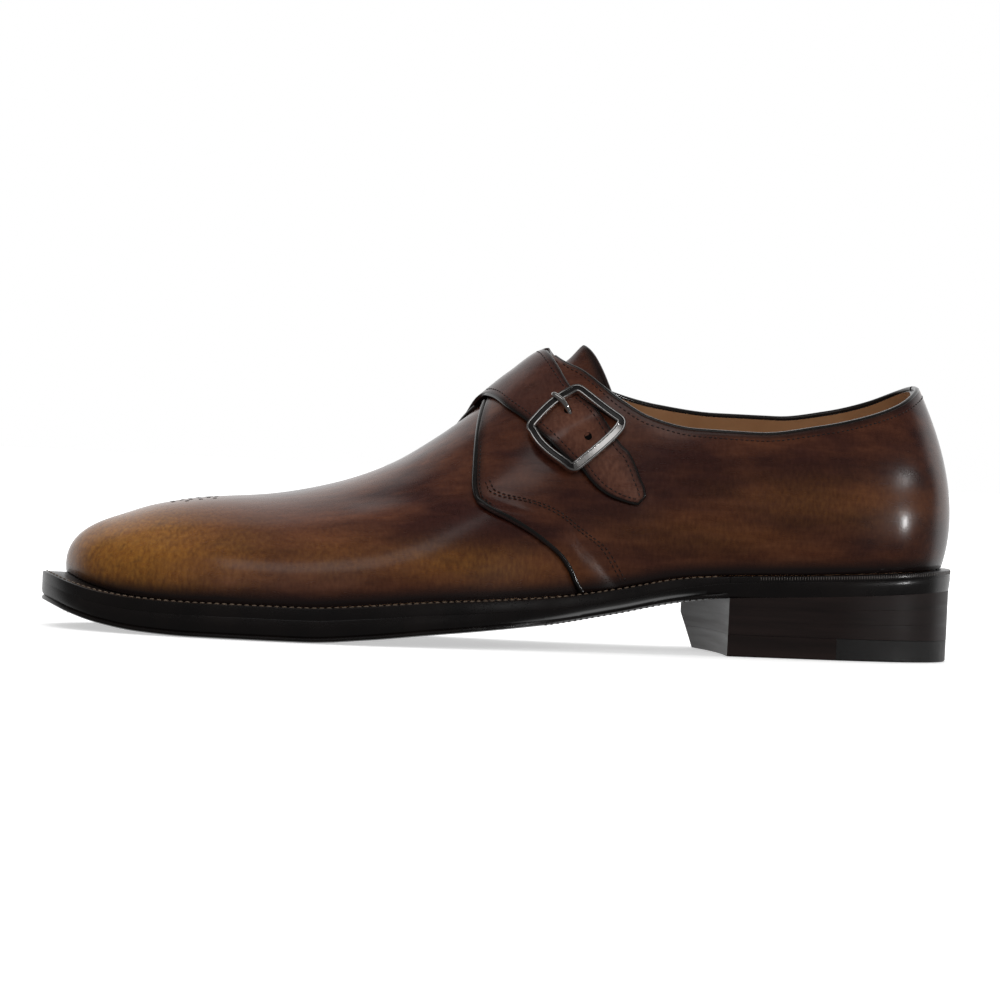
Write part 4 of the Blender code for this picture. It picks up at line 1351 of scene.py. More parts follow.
@dataclass
class Quarters:
    """The two quarters, and the strap that grows out of the medial one."""

    panel: float = 1.1 * MM
    strap: float = 1.6 * MM
    strip_round: float = 0.0087
    side_end: float = 0.395
    side_columns: int = 72
    rear_columns: int = 18
    strap_columns: int = 24
    rows: int = 48
    strap_steps: int = 110
    puff_width: float = 0.037
    puff_height: float = 0.6 * MM
    bar_way: float = 5.5
    bar_bump: float = 1.2 * MM

    @property
    def strap_lift(self) -> float:
        """How far the strap's underside is over the quarter's place."""
        return self.panel + LAST.clearance

    @property
    def strap_top(self) -> float:
        """How far the strap's outside is over the upper, off the buckle's bar."""
        return self.strap_lift + LAST.clearance + self.strap

    @property
    def columns(self) -> int:
        """How many columns a quarter has."""
        return self.side_columns + self.rear_columns + self.strap_columns

    def share_round(self, side: Side, u: float, girth: float) -> float:
        """Where a column of a quarter stands at one girth.

        Args:
            side: which quarter.
            u: share of its columns, from the back strip to the vamp's seam.
            girth: how far up.

        Returns:
            How far round it is.
        """
        start, end = self.strip_round + 0.0012, LAST.seam[side](girth)
        front_top, rear_top = STRAP["front_round"][0], STRAP["rear_round"][0]
        ahead = (rear_top - self.side_end) / (front_top - self.side_end)
        rear = self.side_end + (end - self.side_end) * ahead
        count = u * self.columns
        if count <= self.side_columns:
            return start + (self.side_end - start) * count / self.side_columns
        count -= self.side_columns
        if count <= self.rear_columns:
            return self.side_end + (rear - self.side_end) * count / self.rear_columns
        return rear + (end - rear) * (count - self.rear_columns) / self.strap_columns

    def grow(self, share_round: float, girth: float) -> float:
        """How far the medial quarter has turned into the strap, from 0 to 1."""
        return ease((girth - 0.84) / 0.14) * ease((share_round - 0.425) / 0.022)

    def bump(self, way: float) -> float:
        """How far the strap climbs over the buckle's hidden middle bar."""
        return self.bar_bump * math.exp(-(((way - self.bar_way) / 0.9) ** 2))

    def puff(self, side: Side, point: Vector, u: float, v: float) -> float:
        """How far a quarter stands out: padded behind its front edge, and with its soft folds."""
        gap = self.puff_width * (1 - ease((v - 0.22) / 0.26))
        ahead = LAST.seam[side](v) - self.share_round(side, u, v)
        inside = min(max(ahead / max(gap, 1e-6), 0.0), 1.0)
        return self.puff_height * math.sin(math.pi * inside) * ease(gap / 0.012) + fold_at(point, v)

    def build_lateral(self, finishes: Finishes) -> None:
        """Build the outer quarter, under the strap."""

        def place(u: float, v: float) -> Vector:
            share = self.share_round(Side.LATERAL, u, v)
            return LAST.point(Side.LATERAL, share, v * (1 - sunk(share)))

        item = sheet("quarter_lateral_panel", self.columns, self.rows, place)
        outward_sign(item, CORE)
        emboss(item, lambda point, u, v: LAST.clearance + self.panel + self.puff(Side.LATERAL, point, u, v))
        paint(item, "golden", gold_at)
        # The quarter's mask holds painted shade near the welt as well as its burnished edges.
        paint(item, "burnish", self.quarter_burnish)
        thicken(item, self.panel)
        self.dress(item, Side.LATERAL, finishes, ["quarter_lateral"])

    def build_medial(self, finishes: Finishes) -> None:
        """Build the inner quarter and its strap in one piece."""
        item = sheet(
            "quarter_medial_panel",
            self.columns,
            self.rows,
            lambda u, v: LAST.point(Side.MEDIAL, self.share_round(Side.MEDIAL, u, v), v),
        )
        outward_sign(item, CORE)
        over = LAST.clearance + self.panel
        top = self.strap_top

        def height(point: Vector, u: float, v: float) -> float:
            grown = (top - over) * self.grow(self.share_round(Side.MEDIAL, u, v), v)
            return over + grown + self.puff(Side.MEDIAL, point, u, v)

        emboss(item, height)

        def place(u: float, v: float) -> Vector:
            return LAST.strap_point(v * STRAP_WAYS, u, top + self.bump(v * STRAP_WAYS))

        band = sheet("strap", self.strap_columns, self.strap_steps, place)
        outward_sign(band, Vector((0, 0.012, 0.055)))
        paint(item, "golden", gold_at)
        # The quarter's mask holds painted shade near the welt as well as its burnished edges.
        paint(item, "burnish", self.quarter_burnish)
        paint(band, "golden", self.rust)
        paint(band, "burnish", self.edge_burnish)
        for face in band.data.polygons:
            face.material_index = 1
        for piece in (item, band):
            for name in ("vamp_calf", "strap_calf"):
                piece.data.materials.append(finishes[name])
        whole = join("quarter_medial_panel", [item, band])
        weld(whole, 0.9 * MM * 0.4)
        outward_sign(whole, CORE)
        thicken(whole, 1.3 * MM)
        self.dress(whole, Side.MEDIAL, finishes, ["quarter_medial"])

    def rust(self, point: Vector, u: float, v: float) -> float:
        """How light the strap's dye is: most in the buckle's window and on the tail."""
        way = v * STRAP_WAYS
        middle = bell(u - 0.5, 0.42)
        return middle * (0.25 * ease((way - 0.6) / 1.4) + 0.75 * ease((way - 3.4) / 1.2))

    def edge_burnish(self, point: Vector, u: float, v: float) -> float:
        """How dark the strap is towards its edges and its tip."""
        return 0.85 * (1 - ease(min(u, 1 - u) / 0.10)) + 0.6 * ease((v - 0.95) / 0.05)

    def quarter_burnish(self, point: Vector, u: float, v: float) -> float:
        """How dark a quarter is: painted shade towards the welt, burnish towards its front edge, the topline
        and the back strip.
        """
        front = 0.8 * (1 - ease((1 - u) / 0.04))
        top = 0.75 * (1 - ease((1 - v) / 0.05))
        back = 0.5 * (1 - ease(u / 0.03))
        return max(feather_burnish(point), front, top, back)

    def dress(self, item: Item, side: Side, finishes: Finishes, nodes: Sequence[str]) -> None:
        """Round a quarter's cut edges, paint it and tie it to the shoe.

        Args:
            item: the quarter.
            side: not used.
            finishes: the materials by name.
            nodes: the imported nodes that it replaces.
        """
        round_edges(item, 0.35 * MM)
        smooth(item, 50)
        finish_piece(item, [finishes["quarter_calf"], finishes["strap_calf"]], nodes)


class EdgeRow(NamedTuple):
    """A line along the outsole's edge: insets at the lip and at the heel in mm, shares of bevel and lip."""

    lipped: float
    plain: float
    bevel: float
    height: float


EDGE_ROWS = [
    EdgeRow(0.20, 0.10, 0.50, 1.45),
    EdgeRow(0.75, 0.15, 0.60, 1.00),
    EdgeRow(0.25, 0.20, 0.75, 0.80),
    EdgeRow(0.10, 0.25, 0.80, 0.50),
    EdgeRow(0.25, 0.32, 0.90, 0.20),
    EdgeRow(0.80, 0.38, 1.00, 0.00),
]


@dataclass
class Bottom:
    """The welt, the heel's rand and the outsole."""

    steps: int = 150
    lip: float = 1.7 * MM
    breast: float = 0.277
    wall: float = 1.8 * MM

    def build_outsole(self, finishes: Finishes) -> None:
        """Build the outsole with its grooved edge and its bevelled waist."""
        stations = even_stations(0, 1, self.steps)

        def level(inset: Reader, height: Reader) -> Placer:
            def place(u: float, v: float) -> Vector:
                station = stations[round(v * self.steps)]
                return LAST.across(station, 2 * u - 1, inset(station), height(station))

            return place

        def lipped(station: float) -> float:
            return ease((station - self.breast + 0.01) / 0.02)

        levels = [
            level(lambda s: 0.12 * MM, lambda s: LAST.sole_top(s) + 0.1 * MM),
            level(lambda s: 0.0, lambda s: LAST.sole_top(s) - 0.1 * MM),
            level(
                lambda s: 0.25 * LAST.bevel_depth(s),
                lambda s: LAST.sole_top(s) - 0.35 * LAST.sole_share(s),
            ),
        ]
        for row in EDGE_ROWS:
            levels.append(
                level(
                    lambda s, row=row: (row.plain + (row.lipped - row.plain) * lipped(s)) * MM
                    + row.bevel * LAST.bevel_depth(s),
                    lambda s, row=row: LAST.bottom(s) + row.height * self.lip,
                )
            )
        item = plate("outsole_leather", 10, self.steps, levels)
        smooth(item, 32)
        finish_piece(item, [finishes["sole_edge"], finishes["sole_bottom"]], ["outsole"])
        for face in item.data.polygons:
            if face.normal.z < -0.7:
                face.material_index = 1

    def strip_section(self, side: Side, station: float) -> list[Vector]:
        """One closed section of the welt or the rand."""
        inner = LAST.margin(station) + self.wall
        low, high = LAST.sole_top(station) + 0.12 * MM, LAST.welt_top(station)
        drop, ledge = high - low, 0.45 * MM
        corners = (
            (0.05 * MM, low), (0, low + 0.05 * drop), (0, low + 0.88 * drop), (0.12 * MM, low + 0.96 * drop),
            (ledge, high), (0.5 * (ledge + inner), high), (inner, high), (inner, low),
        )
        return [LAST.edge(side, station, inset, height) for inset, height in corners]

    def build_strips(self, finishes: Finishes) -> None:
        """Build the welt along the front and the rand round the heel."""
        front = even_stations(self.breast + 0.0006, 1, 170)
        back = even_stations(0, self.breast, 70)
        welt_path = [(Side.LATERAL, s) for s in front] + [(Side.MEDIAL, s) for s in reversed(front[:-1])]
        rand_path = [(Side.LATERAL, s) for s in reversed(back)] + [(Side.MEDIAL, s) for s in back[1:]]
        strips = ("welt_strip", "welt", welt_path), ("heel_rand_strip", "heel_rand", rand_path)
        for name, node, path in strips:
            item = loft(name, [self.strip_section(side, station) for side, station in path])
            smooth(item, 40)
            finish_piece(item, [finishes["sole_edge"]], [node])

    def build(self, finishes: Finishes) -> None:
        """Build the whole bottom but the heel."""
        self.build_outsole(finishes)
        self.build_strips(finishes)


@dataclass
class Heel:
    """The stacked heel: three lifts, then a top piece of leather in front and rubber behind."""

    lifts: int = 3
    top_piece: float = 7.3 * MM
    inset: float = 0.36 * MM
    corner_inset: float = 0.6 * MM
    breast: float = 0.277
    hollow: float = 0.009
    rubber_lateral: float = 0.155
    rubber_medial: float = 0.088
    split_gap: float = 0.00012
    notch: Triple = (13 * MM, 12.5 * MM, 11.5 * MM)
    steps: int = 40

    def front(self, share: float) -> float:
        """The station of the breast, hollow between the two sides."""
        return self.breast - self.hollow * (1 - share * share)

    def split(self, share: float) -> float:
        """The station where the rubber of the top piece ends."""
        return self.rubber_lateral + (self.rubber_medial - self.rubber_lateral) * (1 + share) / 2

    def level(self, start: Reader, end: Reader, inset: float, height: Reader) -> Placer:
        """One level of a layer of the heel.

        Args:
            start: the station of its back line at a share across.
            end: the station of its front line.
            inset: how far in from the sole's edge it is.
            height: its height at a station.

        Returns:
            Where the shares across and along go.
        """

        def place(u: float, v: float) -> Vector:
            share = 2 * u - 1
            first, last = LAST.round_of(start(share)), LAST.round_of(end(share))
            station = LAST.station_of(first + (last - first) * v)
            return LAST.across(station, share, inset, height(station))

        return place

    def cut_notch(self, item: Item) -> None:
        """Take the inner front corner off with one flat oblique cut."""
        corner = LAST.edge(Side.MEDIAL, self.breast, self.corner_inset)
        first = corner + Vector((0, -self.notch[1], 0))
        second = corner + Vector((self.notch[0], 0, 0))
        third = corner + Vector((0, 0, self.notch[2]))
        normal = (second - first).cross(third - first).normalized()
        if normal.dot(corner - first) < 0:
            normal.negate()
        if max((vertex.co - first).dot(normal) for vertex in item.data.vertices) <= 0:
            return
        edit(item)
        bpy.ops.mesh.bisect(plane_co=first, plane_no=normal, use_fill=True, clear_outer=True)
        leave()

    def layer(self, start: Reader, end: Reader, inset: float, steps: Steps) -> list[Placer]:
        """The levels of one layer, each by how much further in it is in mm and its height at a station."""
        return [self.level(start, end, inset + further * MM, height) for further, height in steps]

    def build(self, finishes: Finishes) -> None:
        """Build every layer of the heel."""

        def back(share: float) -> float:
            return 0.0

        def front_split(share: float) -> float:
            return self.split(share) + self.split_gap

        def lift_height(up: float) -> Reader:
            return lambda s: self.top_piece + (LAST.bottom(s) - self.top_piece) * up

        for number in range(self.lifts):
            low, high = lift_height(number / self.lifts), lift_height((number + 1) / self.lifts)
            steps = (
                (0.03, high),
                (0, lambda s: high(s) - 0.05 * MM),
                (0, lambda s: low(s) + 0.05 * MM),
                (0.03, low),
            )
            name = f"heel_layer_{number + 1}"
            item = plate(name, 14, self.steps, self.layer(back, self.front, self.inset, steps))
            self.cut_notch(item)
            smooth(item, 20)
            finish_piece(item, [finishes["heel_stack"]], [f"heel_lift_{number + 1}"])

        top = self.top_piece - 0.05 * MM
        steps = (
            (0.1, lambda s: top),
            (0, lambda s: top - 0.15 * MM),
            (0, lambda s: 0.4 * MM),
            (0.3, lambda s: 0.0),
        )
        for name, start, end, finish, node in (
            ("top_piece_front", front_split, self.front, "heel_stack", "top_piece_leather"),
            ("top_piece_back", back, self.split, "heel_rubber", "top_piece_rubber"),
        ):
            item = plate(name, 14, self.steps, self.layer(start, end, self.inset + 0.06 * MM, steps))
            if start is front_split:
                self.cut_notch(item)
            smooth(item, 20)
            finish_piece(item, [finishes[finish]], [node])


LATERAL_FRONT_ROW = ((0.4325, 0.030), (0.4510, 0.120), (0.4730, 0.200), (0.5050, 0.300), (0.5260, 0.370),
                     (0.5340, 0.420), (0.5345, 0.470), (0.5310, 0.560), (0.5250, 0.680), (0.5190, 0.780))
LATERAL_SECOND_ROW = ((0.3960, 0.022), (0.4030, 0.067), (0.4175, 0.150), (0.4350, 0.200), (0.4561, 0.258),
                      (0.4780, 0.310), (0.4980, 0.349), (0.5160, 0.388), (0.5260, 0.425), (0.5290, 0.470))
MEDIAL_FRONT_ROW = ((0.4380, 0.030), (0.4530, 0.120), (0.4650, 0.200), (0.4840, 0.300), (0.4990, 0.370),
                    (0.5150, 0.460), (0.5270, 0.560), (0.5305, 0.680), (0.5220, 0.800), (0.5100, 0.900))
MEDIAL_SECOND_ROW = ((0.4050, 0.025), (0.4150, 0.100), (0.4280, 0.180), (0.4480, 0.280), (0.4660, 0.360),
                     (0.4850, 0.450), (0.5010, 0.540), (0.5130, 0.620), (0.5200, 0.700))


def path_curve(places: Sequence[Sequence[float]]) -> Callable[[float], tuple[float, ...]]:
    """A smooth path through corner points, read by its share.

    Args:
        places: the corner points.

    Returns:
        The place at a share from 0 to 1.
    """
    steps = [0.0]
    for before, after in zip(places, places[1:]):
        steps.append(steps[-1] + math.dist(before, after))
    shares = [step / steps[-1] for step in steps]
    curves = [Curve(shares, [place[k] for place in places]) for k in range(len(places[0]))]
    return lambda share: tuple(curve(share) for curve in curves)


def even_path(place: Path, pitch: float, fine: int = 240) -> list[float]:
    """Shares along a path that lie a fixed distance apart.

    Args:
        place: the path.
        pitch: the distance.
        fine: how many steps it is measured in.

    Returns:
        The shares.
    """
    points = [place(k / fine) for k in range(fine + 1)]
    lengths = [0.0]
    for before, after in zip(points, points[1:]):
        lengths.append(lengths[-1] + max((after - before).length, 1e-7))
    measure = Curve(lengths, [k / fine for k in range(fine + 1)])
    count = max(int(lengths[-1] / pitch), 1)
    return [measure(lengths[-1] * (k + 0.5) / count) for k in range(count)]


@dataclass
class Seams:
    """Rows of stitches, each stitch a small spindle of thread pulled into the leather."""

    pitch: float = 1.9 * MM
    length: float = 1.5 * MM
    radius: float = 0.24 * MM
    sides: int = 6

    def spindle(
        self, mesh: bmesh.types.BMesh, middle: Vector, run: Vector, out: Vector, scale: float
    ) -> None:
        """Add one stitch.

        Args:
            mesh: the mesh that it goes into.
            middle: its middle.
            run: its direction.
            out: the direction out of the leather.
            scale: its size against the usual one.
        """
        second = run.cross(out).normalized()
        half, radius = self.length * scale / 2, self.radius * scale
        lifts = spokes(out, second, self.sides)
        rings = [
            [mesh.verts.new(middle + run * half * along + lift * radius * thick) for lift in lifts]
            for along, thick in ((-0.72, 0.72), (0.0, 1.0), (0.72, 0.72))
        ]
        ends = [mesh.verts.new(middle + run * half * way - out * radius * 0.6) for way in (-1, 1)]
        bridge(mesh, rings)
        for k in range(self.sides):
            after = (k + 1) % self.sides
            mesh.faces.new((ends[0], rings[0][after], rings[0][k]))
            mesh.faces.new((ends[1], rings[-1][k], rings[-1][after]))

    def sew(
        self,
        name: str,
        rows: Sequence[Row],
        thread: Material,
        slot: str,
        pitch: float = 0.0,
        scale: float = 1.0,
        lean: float = 0.0,
    ) -> None:
        """slot: not used.
            scale: the size of a stitch against the usual one.
            lean: how far each stitch is turned across its row, in degrees.
        """
        mesh = bmesh.new()
        for place, out in rows:
            for share in even_path(place, pitch or self.pitch):
                step = 0.002
                run = (place(min(share + step, 1.0)) - place(max(share - step, 0.0))).normalized()
                up = out(share)
                up = (up - run * up.dot(run)).normalized()
                run = Quaternion(up, math.radians(lean)) @ run
                self.spindle(mesh, place(share), run, up, scale)
        item = cast(name, mesh)
        smooth(item, 60)
        finish_piece(item, [thread])


def upper_row(side: Side, spot: Callable[[float], tuple[float, float]], height: float) -> Row:
    """A stitch row at a height over the upper, through the round and full girth that spot gives."""
    return (
        lambda share: LAST.raised(side, *spot(share), height),
        lambda share: LAST.normal(side, *spot(share)),
    )


def surface_row(side: Side, places: Sequence[Sequence[float]], height: float, shift: float) -> Row:
    """A stitch row through corner points in round and full girth, moved round by a shift."""
    curve = path_curve(places)
    return upper_row(side, lambda share: (curve(share)[0] + shift, curve(share)[1]), height)


def topline_row(side: Side, start: float, end: float, below: float, height: float) -> Row:
    """A stitch row that follows the collar's edge.

    Args:
        side: which side.
        start: where it starts, as a share round.
        end: where it ends.
        below: how far under the edge it runs, as a share of the girth.
        height: its height over the upper.

    Returns:
        Its path and its outward direction.
    """

    def spot(share: float) -> tuple[float, float]:
        place = start + (end - start) * share
        girth = 1 - below - sunk(place) * (side is Side.LATERAL)
        return place, girth * LAST.cut(side, LAST.station_of(place))

    return upper_row(side, spot, height)


def strap_row(start: float, end: float, share_at: Reader, height: Reader) -> Row:
    """A stitch row along the strap.

    Args:
        start: the way where it starts.
        end: the way where it ends.
        share_at: the share across the strap at a way.
        height: the height over the upper at a way.

    Returns:
        Its path and its outward direction.
    """

    def place(share: float) -> Vector:
        way = start + (end - start) * share
        return LAST.strap_point(way, share_at(way), height(way))

    def out(share: float) -> Vector:
        way = start + (end - start) * share
        low = LAST.strap_point(way, share_at(way), 0.0)
        return (LAST.strap_point(way, share_at(way), 2 * MM) - low).normalized()

    return place, out


@dataclass
class Trim:
    """Piped edges, bound topline, back strip, and every seam of the upper."""

    quarters: Quarters
    bead: float = 0.95 * MM
    strap_inset: float = 2.0 * MM
    second_gap: float = -0.0042
    row_starts: float = 0.014
    stitch: float = 0.85
    pitch: float = 1.7 * MM

    def front_edge(self, side: Side, finishes: Finishes) -> None:
        """Fold the front edge of a quarter over into a bead.

        Args:
            side: which quarter.
            finishes: the materials by name.
        """
        count = 120
        reach = 0.95 if side is Side.LATERAL else 0.93
        points, outs = [], []
        for k in range(count + 1):
            girth = 0.004 + (reach - 0.004) * k / count
            share = LAST.seam[side](girth) - 0.0012
            points.append(LAST.over(side, share, girth, 0.85 * MM))
            outs.append(LAST.normal(side, share, girth))
        item = tube(f"piped_edge_{side.label}", points, [self.bead] * len(points), 10, guides=outs)
        finish_piece(item, [finishes["edge_dye"]])

    def topline(self, side: Side, finishes: Finishes) -> None:
        """Bind the collar's edge.

        Args:
            side: which side.
            finishes: the materials by name.
        """
        count = 150
        end = 0.4435 if side is Side.LATERAL else 0.430
        points = []
        for k in range(count + 1):
            share = self.quarters.strip_round * 0.4 + (end - self.quarters.strip_round * 0.4) * k / count
            girth = 1.0 - sunk(share) * (side is Side.LATERAL)
            points.append(LAST.over(side, share, girth, 0.35 * MM) + Vector((0, 0, 0.15 * MM)))
        item = tube(f"bound_topline_{side.label}", points, [self.bead] * len(points), 10)
        finish_piece(item, [finishes["edge_dye"]])

    def back_strip(self, finishes: Finishes) -> None:
        """Cover the back seam with a narrow strip, and lay a thin tan line along each side of it."""
        strip, rows = self.quarters.strip_round, 60

        def place(u: float, v: float) -> Vector:
            share = 2 * u - 1
            side = Side.LATERAL if share < 0 else Side.MEDIAL
            return LAST.point(side, strip * abs(share), v)

        item = sheet("back_strip_leather", 12, rows, place)
        outward_sign(item, Vector((0.05, 0, 0.05)))
        flip_if_forward(item)
        emboss(item, lambda point, u, v: LAST.clearance + 1.45 * MM + 0.25 * MM * math.sin(math.pi * u))
        paint(item, "golden", lambda point, u, v: 0.0)
        paint(item, "burnish", lambda point, u, v: 0.3)
        thicken(item, 1.3 * MM)
        round_edges(item, 0.3 * MM)
        smooth(item, 50)
        finish_piece(item, [finishes["dark_calf"]], ["back_strip"])
        for side in Side:
            points = [LAST.over(side, strip + 0.0022, 0.02 + 0.965 * k / 60, 1.28 * MM) for k in range(61)]
            line = tube(f"back_seam_line_{side.label}", points, [0.42 * MM] * 61, 8)
            finish_piece(line, [finishes["tan_line"]])

    def strap_edges(self, finishes: Finishes) -> None:
        """Burnish the strap's two cut edges with a thin bead that meets at its tip."""
        top = self.quarters.strap_top
        count = 150
        points, outs = [], []
        for k in range(2 * count + 1):
            back = k > count
            way = STRAP_WAYS * (1 - (k - count) / count) if back else STRAP_WAYS * k / count
            share = 1.0 if back else 0.0
            height = top - 0.75 * MM + self.quarters.bump(way)
            points.append(LAST.strap_point(way, share, height))
            outs.append((LAST.strap_point(way, share, 2 * MM) - LAST.strap_point(way, share, 0)).normalized())
        radii = [0.62 * MM * (0.3 + 0.7 * ease(min(k, 2 * count - k) / 6)) for k in range(2 * count + 1)]
        item = tube("strap_edge", points, radii, 8, guides=outs)
        finish_piece(item, [finishes["edge_dye"]])

    def seams(self, finishes: Finishes) -> None:
        """Sew every row of the upper."""
        sewing = Seams()
        over = LAST.clearance + self.quarters.panel + 0.06 * MM
        thread = finishes["seam_thread"]
        for side, front, second in (
            (Side.LATERAL, LATERAL_FRONT_ROW, LATERAL_SECOND_ROW),
            (Side.MEDIAL, MEDIAL_FRONT_ROW, MEDIAL_SECOND_ROW),
        ):
            rows = [surface_row(side, front, over, 0.0)]
            rows += [surface_row(side, second, over, shift) for shift in (0.0, self.second_gap)]
            sewing.sew(f"seam_{side.label}", rows, thread, "quarter_leather", self.pitch, self.stitch)
        collar = [
            topline_row(side, self.row_starts, end, 0.040, over)
            for side, end in zip(Side, (0.440, 0.425))
        ]
        sewing.sew("seam_topline", collar, thread, "quarter_leather", 1.8 * MM, self.stitch)
        top = self.quarters.strap_top

        def height(way: float) -> float:
            return top + 0.05 * MM + self.quarters.bump(way)

        def inset(way: float) -> float:
            wide = (LAST.strap_point(way, 0, 0) - LAST.strap_point(way, 1, 0)).length
            return min(self.strap_inset / wide, 0.46)

        edges = (inset, lambda way: 1 - inset(way))
        rows = [strap_row(0.0, STRAP_WAYS - 0.45, across, height) for across in edges]
        sewing.sew("seam_strap", rows, thread, "quarter_leather", self.pitch, self.stitch)

    def build(self, finishes: Finishes) -> None:
        """Build all the trim."""
        for side in Side:
            self.front_edge(side, finishes)
            self.topline(side, finishes)
        self.back_strip(finishes)
        self.strap_edges(finishes)
        self.seams(finishes)


def flip_if_forward(item: Item) -> None:
    """Turn a sheet at the back of the heel so that it faces backwards, towards +X."""
    if sum(face.normal.x * face.area for face in item.data.polygons) < 0:
        edit(item)
        bpy.ops.mesh.flip_normals()
        leave()


@dataclass
class Tongue:
    """The tongue under the strap, rising out of the collar."""

    start: float = 0.530
    end: float = 0.411
    sweep: float = 0.055
    girth: float = 0.60
    rise: float = 6.5 * MM
    wall: float = 1.8 * MM
    thickness: float = 2.0 * MM
    columns: int = 40
    rows: int = 44

    def place(self, u: float, v: float) -> Vector:
        """A point of the tongue before it is set under the upper.

        Args:
            u: share across, from the lateral side.
            v: share from its front end to its rear edge.

        Returns:
            The point.
        """
        across = 2 * u - 1
        side = Side.LATERAL if across <= 0 else Side.MEDIAL
        girth = 1 - (1 - self.girth) * abs(across)
        end = self.end - self.sweep * (1 - girth)
        share = self.start + (end - self.start) * v
        station = LAST.station_of(share)
        held = max(station, LAST.throat)
        point = bezier(LAST.vault(side, station, held), girth)
        mouth = LAST.throat_round - 0.006
        beyond = ease((mouth - share) / (mouth - self.end))
        cut = LAST.cut(side, station)
        point.z += self.rise * beyond * ease((girth - cut) / (1.02 - cut))
        return point

    def build(self, finishes: Finishes) -> None:
        """Build the tongue and its rolled edge."""
        item = sheet("tongue_leather", self.columns, self.rows, self.place)
        outward_sign(item, Vector((0, 0, 0.02)))
        high = -self.wall - 0.8 * MM
        emboss(item, lambda point, u, v: high)
        paint(item, "golden", lambda point, u, v: 0.0)
        paint(
            item,
            "burnish",
            lambda point, u, v: 0.25
            + 0.6 * ease((v - 0.9) / 0.08)
            + 0.3 * ease((abs(2 * u - 1) - 0.88) / 0.08),
        )
        up = item.data.attributes["up"].data
        rear = [vertex.co.copy() for vertex in item.data.vertices if up[vertex.index].value > 0.999]
        thicken(item, self.thickness)
        round_edges(item, 0.6 * MM, 3)
        smooth(item, 50)
        finish_piece(item, [finishes["quarter_calf"]], ["tongue"])
        rear.sort(key=lambda point: point.y)
        lift = Vector((0, 0, -self.thickness / 2))
        roll = tube("tongue_edge", [point + lift for point in rear], [0.95 * MM] * len(rear), 10)
        finish_piece(roll, [finishes["dark_calf_plain"]])


class Corner(NamedTuple):
    """A corner of the buckle's frame, and how far the side after it bows out."""

    round: float
    girth: float
    bow: float


class PinStep(NamedTuple):
    """One step of the prong: its way along the strap, its height and radius in mm."""

    way: float
    height: float
    radius: float


